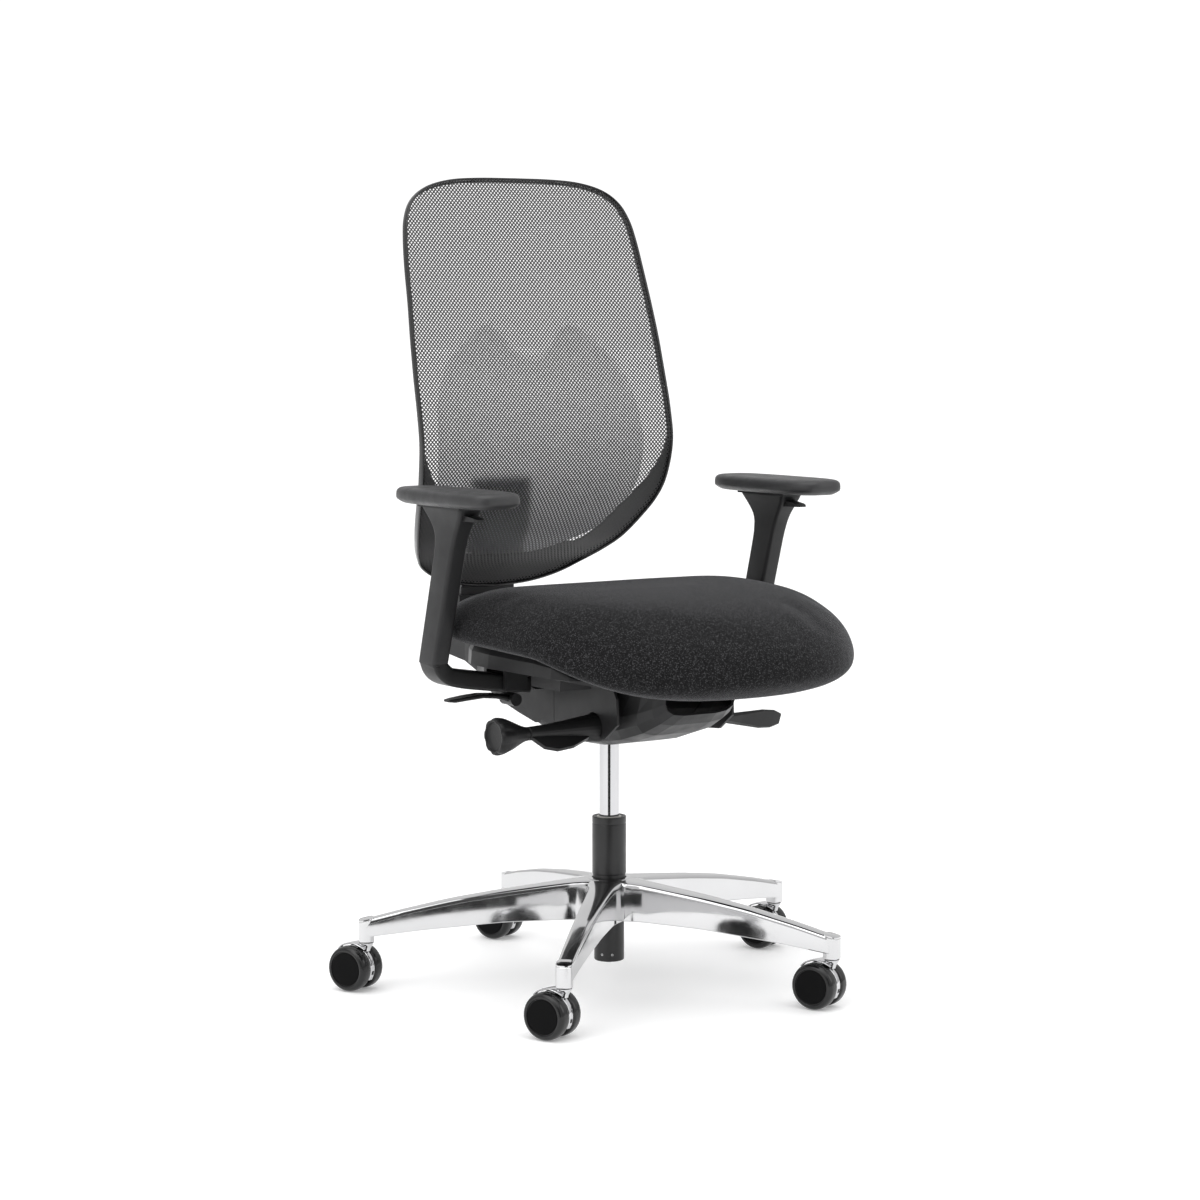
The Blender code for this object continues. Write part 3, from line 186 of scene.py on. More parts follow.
def moulded(name, base, rough, grain=900.0, depth=0.00012, strength=0.35, spread=0.06, spec=0.5, worn=0.35):
    """Injection-moulded plastic: fine spark-eroded grain, uneven sheen, edges rubbed a little brighter."""
    k = Nodes(name)
    g = k.voronoi(grain, "F1").outputs["Distance"]
    big = k.noise(9.0, 3.0)
    col = k.ramp(big, [(0.25, tuple(c * 0.86 for c in base)), (0.75, tuple(c * 1.14 for c in base))])
    geo = k.n("NewGeometry")
    edge = k.ramp(geo.outputs["Pointiness"], [(0.50, 0.0), (0.60, 1.0)])
    mix = k.n("Mix")
    mix.data_type = "RGBA"
    k.link(k.math("MULTIPLY", edge, worn), mix.inputs["Factor"])
    k.link(col, mix.inputs[6])
    mix.inputs[7].default_value = (*[min(c * 2.1 + 0.012, 1) for c in base], 1.0)
    k.link(mix.outputs[2], k.bsdf.inputs["Base Color"])
    k.link(k.span(k.noise(38.0, 4.0), rough - spread, rough + spread, 0.3, 0.7), k.bsdf.inputs["Roughness"])
    n1 = k.bump(g, strength, depth)
    k.link(k.bump(k.noise(60.0, 2.0), 0.06, 0.0006, n1), k.bsdf.inputs["Normal"])
    k.bsdf.inputs["Specular IOR Level"].default_value = spec
    return k.mat


def metal(name, base, rough, spread, wave=0.0, brush=0.0, scale=22.0):
    """Metal with uneven polish; brush adds fine turned or drawn lines round its axis."""
    k = Nodes(name)
    k.bsdf.inputs["Metallic"].default_value = 1.0
    col = k.ramp(k.noise(scale * 0.6, 3.0), [(0.2, tuple(c * 0.95 for c in base)), (0.8, tuple(min(c * 1.03, 1) for c in base))])
    k.link(col, k.bsdf.inputs["Base Color"])
    k.link(k.span(k.noise(scale * 2.4, 5.0, 0.65), max(rough - spread, 0.02), rough + spread, 0.3, 0.7), k.bsdf.inputs["Roughness"])
    n = k.bump(k.noise(scale, 2.0, 0.4), 1.0, wave) if wave else None
    if brush:
        v = k.scaled(40, 40, 1800)
        n = k.bump(k.noise(1.0, 1.0, 0.5, v), brush, 0.00003, n)
    if n:
        k.link(n, k.bsdf.inputs["Normal"])
    return k.mat


def painted(name, base, rough):
    """Powder-coated steel: fine orange peel."""
    k = Nodes(name)
    k.link(k.ramp(k.noise(14.0, 3.0), [(0.2, tuple(c * 0.85 for c in base)), (0.8, tuple(c * 1.2 for c in base))]), k.bsdf.inputs["Base Color"])
    k.link(k.span(k.noise(55.0, 4.0), rough - 0.05, rough + 0.05, 0.3, 0.7), k.bsdf.inputs["Roughness"])
    k.link(k.bump(k.noise(420.0, 2.0), 0.35, 0.00012), k.bsdf.inputs["Normal"])
    return k.mat


def upholstery(name):
    """Charcoal wool blend: fine diagonal weave, flecks of lighter yarn, soft fuzz."""
    k = Nodes(name)
    fleck = k.voronoi(860.0, "F1")
    sep = k.n("SeparateColor")
    k.link(fleck.outputs["Color"], sep.inputs["Color"])
    light = k.ramp(sep.outputs[0], [(0.70, 0.0), (0.97, 1.0)])
    body = k.ramp(k.noise(260.0, 4.0, 0.7), [(0.30, (0.0055, 0.0055, 0.0058)), (0.72, (0.0130, 0.0130, 0.0136))])
    mix = k.n("Mix")
    mix.data_type = "RGBA"
    k.link(k.math("MULTIPLY", light, 0.62), mix.inputs["Factor"])
    k.link(body, mix.inputs[6])
    mix.inputs[7].default_value = (0.070, 0.070, 0.073, 1.0)
    k.link(mix.outputs[2], k.bsdf.inputs["Base Color"])
    k.bsdf.inputs["Roughness"].default_value = 0.92
    k.bsdf.inputs["Specular IOR Level"].default_value = 0.08
    k.bsdf.inputs["Sheen Weight"].default_value = 0.26
    k.bsdf.inputs["Sheen Roughness"].default_value = 0.30
    k.bsdf.inputs["Sheen Tint"].default_value = (0.80, 0.80, 0.83, 1.0)
    w1 = k.n("TexWave", Scale=165.0, Distortion=1.2, Detail=1.0)
    w1.wave_type, w1.bands_direction = "BANDS", "DIAGONAL"
    k.link(k.obj, w1.inputs["Vector"])
    w2 = k.n("TexWave", Scale=240.0, Distortion=0.8, Detail=1.0)
    w2.wave_type, w2.bands_direction = "BANDS", "X"
    k.link(k.obj, w2.inputs["Vector"])
    h = k.math("MULTIPLY", w1.outputs["Fac"], w2.outputs["Fac"])
    h = k.math("ADD", h, k.math("MULTIPLY", fleck.outputs["Distance"], 0.9))
    k.link(k.bump(h, 0.55, 0.00045), k.bsdf.inputs["Normal"])
    return k.mat


def knitted(name):
    """Yarn of the open back mesh."""
    k = Nodes(name)
    k.link(k.ramp(k.noise(700.0, 2.0), [(0.3, (0.014, 0.014, 0.0145)), (0.7, (0.036, 0.036, 0.037))]), k.bsdf.inputs["Base Color"])
    k.bsdf.inputs["Roughness"].default_value = 0.62
    k.bsdf.inputs["Sheen Weight"].default_value = 0.15
    k.link(k.bump(k.noise(2600.0, 2.0), 0.4, 0.0001), k.bsdf.inputs["Normal"])
    return k.mat


def soft_skin(name):
    """Skinned polyurethane: soft, leathery grain."""
    k = Nodes(name)
    k.link(k.ramp(k.noise(20.0, 3.0), [(0.2, (0.016, 0.016, 0.017)), (0.8, (0.026, 0.026, 0.027))]), k.bsdf.inputs["Base Color"])
    k.link(k.span(k.noise(70.0, 4.0), 0.40, 0.54, 0.3, 0.7), k.bsdf.inputs["Roughness"])
    cell = k.voronoi(620.0, "DISTANCE_TO_EDGE").outputs["Distance"]
    n1 = k.bump(k.span(cell, 0.0, 1.0, 0.0, 0.25), 0.30, 0.00016)
    k.link(k.bump(k.noise(45.0, 3.0), 0.25, 0.0006, n1), k.bsdf.inputs["Normal"])
    return k.mat


def frosted(name):
    """Translucent polypropylene, milky and finely textured; its colour is painted darker towards the bottom as shade.
    """
    k = Nodes(name)
    sep = k.n("SeparateXYZ")
    k.link(k.obj, sep.inputs["Vector"])
    # painted shade: the colour runs from dark at the bottom of the shell to near white at the top, standing in for the
    # shade low on the back
    painted_shade_height = k.math("ADD", k.span(sep.outputs["Z"], 0.0, 1.0, 0.62, 0.90), k.span(k.noise(12.0, 3.0), -0.03, 0.03))
    k.link(k.ramp(painted_shade_height, [(0.02, (0.22, 0.22, 0.23)), (0.34, (0.66, 0.66, 0.67)), (0.75, (0.985, 0.985, 0.985))]), k.bsdf.inputs["Base Color"])
    k.link(k.span(k.noise(80.0, 3.0), 0.44, 0.56, 0.3, 0.7), k.bsdf.inputs["Roughness"])
    k.bsdf.inputs["Transmission Weight"].default_value = 0.94
    k.bsdf.inputs["IOR"].default_value = 1.07
    k.bsdf.inputs["Specular IOR Level"].default_value = 0.3
    k.link(k.bump(k.voronoi(900.0).outputs["Distance"], 0.2, 0.0001), k.bsdf.inputs["Normal"])
    return k.mat


ALUMINIUM = metal("polished_aluminium", (0.60, 0.60, 0.605), 0.085, 0.035, wave=0.00010, scale=16.0)
CHROME = metal("chrome", (0.60, 0.60, 0.61), 0.05, 0.02, wave=0.0)
GAS_CHROME = metal("ground_chrome", (0.54, 0.54, 0.55), 0.07, 0.03, brush=0.25)
STEEL = metal("bright_steel", (0.52, 0.52, 0.54), 0.28, 0.08, brush=0.5)
SPRING = metal("spring_steel", (0.22, 0.22, 0.24), 0.36, 0.08)
BLACK_STEEL = painted("black_powder_coat", (0.0075, 0.0075, 0.0079), 0.36)
DARK_PLASTIC = moulded("dark_grey_plastic", (0.0095, 0.0095, 0.0100), 0.42, spec=0.26)
SLEEVE_PLASTIC = moulded("sleeve_plastic", (0.0135, 0.0135, 0.0142), 0.46, spec=0.32)
BLACK_PLASTIC = moulded("black_plastic", (0.0085, 0.0085, 0.0088), 0.40, spec=0.28)
WHEEL_DISC = moulded("wheel_disc", (0.0036, 0.0036, 0.0038), 0.50, grain=700.0, worn=0.15, spec=0.06)
WHEEL_TREAD = moulded("wheel_tread", (0.0060, 0.0060, 0.0063), 0.20, grain=500.0, strength=0.12, worn=0.25, spec=0.40)
GLOSS_BLACK = moulded("gloss_black_plastic", (0.0065, 0.0065, 0.0068), 0.20, grain=300.0, strength=0.05, spread=0.04, worn=0.2)
BAND_BLACK = moulded("band_plastic", (0.036, 0.036, 0.0375), 0.46, spec=0.35)
GREY_PANEL = moulded("light_grey_panel", (0.74, 0.74, 0.75), 0.50, grain=900.0, strength=0.2, worn=0.1)
NATURAL = moulded("natural_plastic", (0.70, 0.68, 0.62), 0.42, worn=0.1)
RUBBER = moulded("rubber", (0.020, 0.020, 0.020), 0.75, grain=500.0)
FROSTED = frosted("frosted_panel")
CLOTH = upholstery("charcoal_cloth")
KNIT = knitted("black_mesh")
SKIN = soft_skin("soft_pad")


# ------------------------------------------------------------------ shape helpers
def finish_mesh(name, bm, mats, smooth=35.0):
    bmesh.ops.recalc_face_normals(bm, faces=bm.faces)
    mesh = bpy.data.meshes.new(name)
    bm.to_mesh(mesh)
    bm.free()
    mesh.shade_smooth()
    if smooth is not None:
        mesh.set_sharp_from_angle(angle=math.radians(smooth))
    for m in (mats if isinstance(mats, (list, tuple)) else [mats]):
        mesh.materials.append(m)
    ob = bpy.data.objects.new(name, mesh)
    ob.location = S
    COL.objects.link(ob)
    return ob


def add_loft(bm, rings, caps=True, closed=False):
    vs = [[bm.verts.new(p) for p in ring] for ring in rings]
    n = len(rings[0])
    faces = []
    for i in range(len(rings) if closed else len(rings) - 1):
        a, b = vs[i], vs[(i + 1) % len(rings)]
        for j in range(n):
            faces.append(bm.faces.new((a[j], a[(j + 1) % n], b[(j + 1) % n], b[j])))
    if caps and not closed:
        bm.faces.new(vs[0][::-1])
        bm.faces.new(vs[-1])
    return faces


def loft(name, rings, mat, smooth=35.0, caps=True, closed=False):
    bm = bmesh.new()
    add_loft(bm, rings, caps, closed)
    return finish_mesh(name, bm, mat, smooth)


def add_turned(bm, profile, steps, m=Matrix(), index=None):
    """Turned surface about local Z, from (radius, height) points; index gives a material per band."""
    rows = []
    for r, z in profile:
        if r < 1e-7:
            rows.append([bm.verts.new(m @ Vector((0, 0, z)))])
        else:
            rows.append([bm.verts.new(m @ Vector((r * math.cos(2 * math.pi * i / steps), r * math.sin(2 * math.pi * i / steps), z))) for i in range(steps)])
    for k, (a, b) in enumerate(zip(rows, rows[1:])):
        for i in range(steps):
            j = (i + 1) % steps
            if len(a) == 1 and len(b) == 1:
                continue
            if len(a) == 1:
                f = bm.faces.new((a[0], b[i], b[j]))
            elif len(b) == 1:
                f = bm.faces.new((a[i], b[0], a[j]))
            else:
                f = bm.faces.new((a[i], b[i], b[j], a[j]))
            if index:
                f.material_index = index[k]


def soft_profile(points, r=0.0006, n=2):
    """Rounds the corners of a (radius, height) profile."""
    out = [points[0]]
    for p0, p1, p2 in zip(points, points[1:], points[2:]):
        a, b, c = Vector(p0), Vector(p1), Vector(p2)
        d0, d1 = (a - b), (c - b)
        k = min(r, d0.length * 0.45, d1.length * 0.45)
        if k < 1e-6:
            out.append(p1)
            continue
        s, e = b + d0.normalized() * k, b + d1.normalized() * k
        for i in range(n + 1):
            t = i / n
            q = s.lerp(b, t).lerp(b.lerp(e, t), t)
            out.append((q.x, q.y))
    out.append(points[-1])
    return out


def catmull(points, per):
    pts = [np.array(p, float) for p in points]
    pts = [2 * pts[0] - pts[1]] + pts + [2 * pts[-1] - pts[-2]]
    out = []
    for i in range(1, len(pts) - 2):
        p0, p1, p2, p3 = pts[i - 1:i + 3]
        for k in range(per):
            t = k / per
            out.append(0.5 * ((2 * p1) + (-p0 + p2) * t + (2 * p0 - 5 * p1 + 4 * p2 - p3) * t * t + (-p0 + 3 * p1 - 3 * p2 + p3) * t ** 3))
    out.append(pts[-2])
    return out


def rounded(w, h, r, n=5):
    pts = []
    r = min(r, w * 0.98, h * 0.98)
    for cx, cy, a in ((w - r, h - r, 0), (-w + r, h - r, 90), (-w + r, -h + r, 180), (w - r, -h + r, 270)):
        for i in range(n + 1):
            t = math.radians(a + 90 * i / n)
            pts.append((cx + r * math.cos(t), cy + r * math.sin(t)))
    return pts


def superellipse(t, nf, nr):
    c, s = math.cos(t), math.sin(t)
    n = nf if s < 0 else nr
    r = (abs(c) ** n + abs(s) ** n) ** (-1 / n)
    return c * r, s * r


def repaint(node, mat):
    ob = NODES[node]
    if not ob.material_slots:
        ob.data.materials.append(mat)
    for sl in ob.material_slots:
        sl.material = mat


def soften(node, width=0.0008, segments=2, angle=32):
    """Rounded edges on a CAD piece, as a modifier."""
    ob = NODES[node]
    m = ob.modifiers.new("edge", "BEVEL")
    m.width, m.segments, m.limit_method, m.angle_limit = width, segments, "ANGLE", math.radians(angle)
    m.use_clamp_overlap = True
    m.harden_normals = False
    round_off(ob)


def round_off(ob, angle=34):
    """Smooth shading up to an angle, as a modifier, so that the mesh itself stays as it is."""
    key = f"smooth_by_angle_{angle}"
    g = bpy.data.node_groups.get(key)
    if g is None:
        g = bpy.data.node_groups.new(key, "GeometryNodeTree")
        g.interface.new_socket("Geometry", in_out="INPUT", socket_type="NodeSocketGeometry")
        g.interface.new_socket("Geometry", in_out="OUTPUT", socket_type="NodeSocketGeometry")
        a, b = g.nodes.new("NodeGroupInput"), g.nodes.new("NodeGroupOutput")
        face, edge = g.nodes.new("GeometryNodeSetShadeSmooth"), g.nodes.new("GeometryNodeSetShadeSmooth")
        face.domain, edge.domain = "FACE", "EDGE"
        face.inputs["Shade Smooth"].default_value = True
        ea, less = g.nodes.new("GeometryNodeInputMeshEdgeAngle"), g.nodes.new("FunctionNodeCompare")
        less.data_type, less.operation = "FLOAT", "LESS_THAN"
        less.inputs[1].default_value = math.radians(angle)
        g.links.new(ea.outputs["Unsigned Angle"], less.inputs[0])
        g.links.new(a.outputs[0], face.inputs["Geometry"])
        g.links.new(face.outputs[0], edge.inputs["Geometry"])
        g.links.new(less.outputs[0], edge.inputs["Shade Smooth"])
        g.links.new(edge.outputs[0], b.inputs[0])
    m = ob.modifiers.new("shade", "NODES")
    m.node_group = g


# ------------------------------------------------------------------ base star
def arm_top(r):
    return float(np.interp(r, [0.0, 0.033, 0.08, 0.15, 0.22, 0.293, 0.335, 0.36], [0.1513, 0.1505, 0.1452, 0.1370, 0.1268, 0.1120, 0.1020, 0.0965]))


def arm_bottom(r):
    return float(np.interp(r, [0.0, 0.045, 0.15, 0.263, 0.325, 0.36], [0.0945, 0.0955, 0.0935, 0.0850, 0.0785, 0.0745]))


def arm_half(r):
    base = float(np.interp(r, [0.0, 0.03, 0.10, 0.20, 0.30, 0.36], [0.0205, 0.0200, 0.0172, 0.0143, 0.0118, 0.0108]))
    return base + 0.0075 * math.exp(-((r - 0.030) / 0.016) ** 2) * (1 if r > 0.030 else 1)


def smooth3(fn, r, h=0.012):
    return (fn(r - h) + 2 * fn(r) + fn(r + h)) / 4


def make_base():
    bm = bmesh.new()
    add_turned(bm, soft_profile([(0.0242, HUB_TOP), (HUB_R - 0.002, HUB_TOP), (HUB_R + 0.0005, HUB_TOP - 0.004), (HUB_R + 0.002, HUB_BOT + 0.002),
                                 (HUB_R, HUB_BOT), (0.0222, HUB_BOT), (0.0240, HUB_TOP - 0.001), (0.0242, HUB_TOP)], 0.0016, 3), 96)
    for k in range(5):
        a = math.radians(ARM_ANGLE_0 + 72 * k)
        d, s = Vector((math.sin(a), -math.cos(a), 0)), Vector((math.cos(a), math.sin(a), 0))
        rings = []
        radii = list(np.linspace(0.026, 0.3405, 44))
        for r in radii:
            w, zt, zb = smooth3(arm_half, r), smooth3(arm_top, r), smooth3(arm_bottom, r)
            wall, roof = 0.0036, 0.0052
            if r < 0.050 or r > 0.322:
                roof = zt - zb - 0.0008      # channel closes at both ends
                wall = w * 0.55
            crown = 0.0016
            outer = [(-w, zb + 0.0012), (-w * 0.995, zb + 0.30 * (zt - zb)), (-w * 0.975, zt - 0.0070), (-w * 0.955, zt - 0.0040), (-w * 0.90, zt - 0.0020),
                     (-w * 0.78, zt - 0.0008), (-w * 0.50, zt - 0.0002), (0, zt + crown * 0.35), (w * 0.50, zt - 0.0002), (w * 0.78, zt - 0.0008),
                     (w * 0.90, zt - 0.0020), (w * 0.955, zt - 0.0040), (w * 0.975, zt - 0.0070), (w * 0.995, zb + 0.30 * (zt - zb)), (w, zb + 0.0012), (w - 0.0008, zb)]
            inner = [(w - wall, zb), (w - wall - 0.0008, zt - roof), (-(w - wall - 0.0008), zt - roof), (-(w - wall), zb), (-(w - 0.0008), zb)]
            rings.append([d * float(r) + s * x + Vector((0, 0, z)) for x, z in outer + inner])
        add_loft(bm, rings)
        # end boss: a rounded square post with a shallow groove under its flat top
        ring = []
        for z, g in ((0.0690, -0.0009), (0.0697, 0.0), (0.0985, 0.0), (0.0990, -0.0005), (0.0996, -0.0005), (0.1001, 0.0001), (0.1014, 0.0), (0.1020, -0.0012)):
            row = []
            for i in range(40):
                u, v = superellipse(2 * math.pi * i / 40, 3.4, 3.4)
                h = 0.0107 + g
                zz = z if z < 0.098 else z - 0.20 * (v * h)       # the top follows the arm's slope
                row.append(d * (STEM_R + v * h) + s * (u * h * 1.02) + Vector((0, 0, zz)))
            ring.append(row)
        add_loft(bm, ring)
    star = finish_mesh("base_casting", bm, ALUMINIUM, 32)
    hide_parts("base_star")
    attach(star, "base")

    bm = bmesh.new()
    add_turned(bm, soft_profile([(0.0180, TUBE_TOP - 0.0022), (0.0232, TUBE_TOP), (TUBE_R, TUBE_TOP - 0.0012), (TUBE_R, 0.2290), (TUBE_R - 0.0004, 0.2284),
                                 (TUBE_R - 0.0004, 0.2276), (TUBE_R, 0.2270), (TUBE_R, 0.1580), (TUBE_R - 0.0010, 0.1565), (0.0226, 0.1500),
                                 (TUBE_R_LOW, 0.0885), (TUBE_R_LOW, TUBE_BOT + 0.0015), (TUBE_R_LOW - 0.0012, TUBE_BOT), (0.0172, TUBE_BOT),
                                 (0.0168, TUBE_BOT + 0.0012), (0.0062, TUBE_BOT + 0.0012), (0.0062, 0.0375), (0.0175, 0.0375), (0.0175, TUBE_TOP - 0.0022), (0.0180, TUBE_TOP - 0.0022)], 0.0006, 2), 96)
    tube = finish_mesh("outer_tube", bm, BLACK_STEEL, 35)
    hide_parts("column_tube")
    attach(tube, "base")
    # two small vent holes with rolled rims near the foot of the tube
    bm = bmesh.new()
    for ang in (-34.5 - 28, -34.5 + 12):
        a = math.radians(ang)
        out = Vector((math.sin(a), -math.cos(a), 0))
        m = Matrix.Translation(out * (TUBE_R_LOW - 0.0002) + Vector((0, 0, 0.0440))) @ out.to_track_quat("Z", "Y").to_matrix().to_4x4()
        add_turned(bm, [(0.0, -0.0010), (0.0009, -0.0010), (0.0010, 0.0003), (0.0014, 0.0004), (0.0017, 0.0)], 20, m)
    vents = finish_mesh("tube_vents", bm, GREY_PANEL, 35)
    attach(vents, "base")

    bm = bmesh.new()
    add_turned(bm, soft_profile([(0.0030, GAS_TOP), (0.0124, GAS_TOP), (0.0129, GAS_TOP - 0.001), (GAS_R, 0.346), (GAS_R, GAS_BOT + 0.001),
                                 (GAS_R - 0.001, GAS_BOT), (0.0053, GAS_BOT), (0.0053, 0.156), (0.0113, 0.156), (0.0113, 0.351), (0.0030, 0.352), (0.0030, GAS_TOP)], 0.0005, 2), 96)
    gas = finish_mesh("gas_column", bm, GAS_CHROME, 35)
    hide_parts("gas_cylinder")
    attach(gas, "chassis")


# ------------------------------------------------------------------ casters
def caster_matrix(n):
    a = math.radians(ARM_ANGLE_0 + 72 * (n - 1))
    at = Vector((math.sin(a), -math.cos(a), 0)) * STEM_R
    return Matrix.Translation(at) @ Matrix.Rotation(math.radians(TRAIL_ANGLE), 4, "Z")


def make_casters():
    w0, w1 = WHEEL_IN, WHEEL_OUT
    prof = [(0.0, w1 - 0.0010), (0.0080, w1 - 0.0010), (0.0222, w1 - 0.0008), (0.0230, w1 - 0.0009), (0.0234, w1 - 0.0018), (0.0240, w1 - 0.0018), (0.0244, w1 - 0.0006),
            (0.0256, w1 - 0.0001), (0.0272, w1 - 0.0001), (0.0290, w1 - 0.0012), (0.0304, w1 - 0.0034), (0.0313, w1 - 0.0060), (WHEEL_R, w1 - 0.0085),
            (WHEEL_R, w0 + 0.0050), (0.0312, w0 + 0.0022), (0.0303, w0 + 0.0006), (0.0290, w0), (0.0262, w0), (0.0256, w0 + 0.0014), (0.0110, w0 + 0.0020), (0.0100, w0), (0.0033, w0)]
    index = [1 if 0.0236 < (prof[i][0] + prof[i + 1][0]) / 2 and i < 17 else 0 for i in range(len(prof) - 1)]
    for n in range(1, 6):
        cm = caster_matrix(n)
        for tag, sgn in (("a", 1), ("b", -1)):
            bm = bmesh.new()
            m = cm @ Matrix.Translation((0, TRAIL, WHEEL_R)) @ Matrix.Rotation(math.pi / 2 * sgn, 4, "Y")
            add_turned(bm, prof, 80, m, index)
            w = finish_mesh(f"wheel_{n}{tag}", bm, [WHEEL_DISC, WHEEL_TREAD], 40)
            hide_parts(f"caster_wheel_{n}{tag}")
            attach(w, f"caster_wheel_{n}{tag}")
        # plated horn: fender over the wheels, front strip between them, collar round the stem
        bm = bmesh.new()
        cy, cz = TRAIL, WHEEL_R

        def strip(a0, a1, r0, r1, hx, count=18, taper=0.0):
            rings = []
            for i in range(count + 1):
                t = math.radians(a0 + (a1 - a0) * i / count)
                h = hx * (1 - taper * abs(2 * i / count - 1) ** 3)
                sec = rounded(h, (r1 - r0) / 2, min((r1 - r0) * 0.42, 0.0012), 3)
                rm = (r0 + r1) / 2
                rings.append([cm @ Vector((x, cy + (rm + q) * math.cos(t), cz + (rm + q) * math.sin(t))) for x, q in sec])
            add_loft(bm, rings)
        strip(212, 112, 0.0262, 0.0302, 0.0045, 24, 0.10)       # front strip between the wheels
        strip(128, 44, 0.0333, 0.0353, 0.0112, 24, 0.25)         # fender over the top
        strip(112, -20, 0.0250, 0.0298, 0.0044, 24, 0.10)        # rear web rim
        add_turned(bm, soft_profile([(0.0, 0.0655), (0.0060, 0.0655), (0.0096, 0.0662), (0.0098, 0.0684), (0.0, 0.0686)], 0.0005, 2), 48, cm)
        # neck flowing from the collar into the fender
        rings = []
        for z, hx, hy, yy in ((0.0668, 0.0092, 0.0092, 0.0), (0.0650, 0.0086, 0.0094, 0.0006), (0.0632, 0.0064, 0.0098, 0.0022), (0.0600, 0.0048, 0.0105, 0.0045), (0.0560, 0.0044, 0.0120, 0.0070)):
            rings.append([cm @ Vector((x, yy + y, z)) for x, y in rounded(hx, hy, min(hx, hy) * 0.8, 5)])
        add_loft(bm, rings)
        # solid web inside, set back from the rims
        disc = [(cy + 0.0256 * math.cos(2 * math.pi * i / 48), cz + 0.0256 * math.sin(2 * math.pi * i / 48)) for i in range(48)]
        add_loft(bm, [[cm @ Vector((x, y, z)) for y, z in disc] for x in (-0.0030, 0.0030)])
        horn = finish_mesh(f"caster_horn_{n}", bm, CHROME, 35)
        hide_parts(f"caster_body_{n}")
        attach(horn, f"caster_{n}")
        # dark seal between horn and boss, and the small brake window plate on the front strip
        bm = bmesh.new()
        add_turned(bm, soft_profile([(0.0062, 0.0688), (0.0100, 0.0688), (0.0103, 0.0685), (0.0103, 0.0679), (0.0090, 0.0676)], 0.0002, 2), 48, cm)
        for i, (t0, t1) in enumerate(((196, 186),)):
            rings = []
            for j in range(5):
                t = math.radians(t0 + (t1 - t0) * j / 4)
                rings.append([cm @ Vector((x, cy + r * math.cos(t), cz + r * math.sin(t))) for x, r in ((-0.0022, 0.0299), (0.0022, 0.0299), (0.0022, 0.0305), (-0.0022, 0.0305))])
            add_loft(bm, rings)
        seal = finish_mesh(f"caster_seal_{n}", bm, BLACK_PLASTIC, 35)
        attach(seal, f"caster_{n}")


# ------------------------------------------------------------------ arms
def post_y(z):
    return POST_Y0 + POST_SLOPE * (z - POST_Z0)


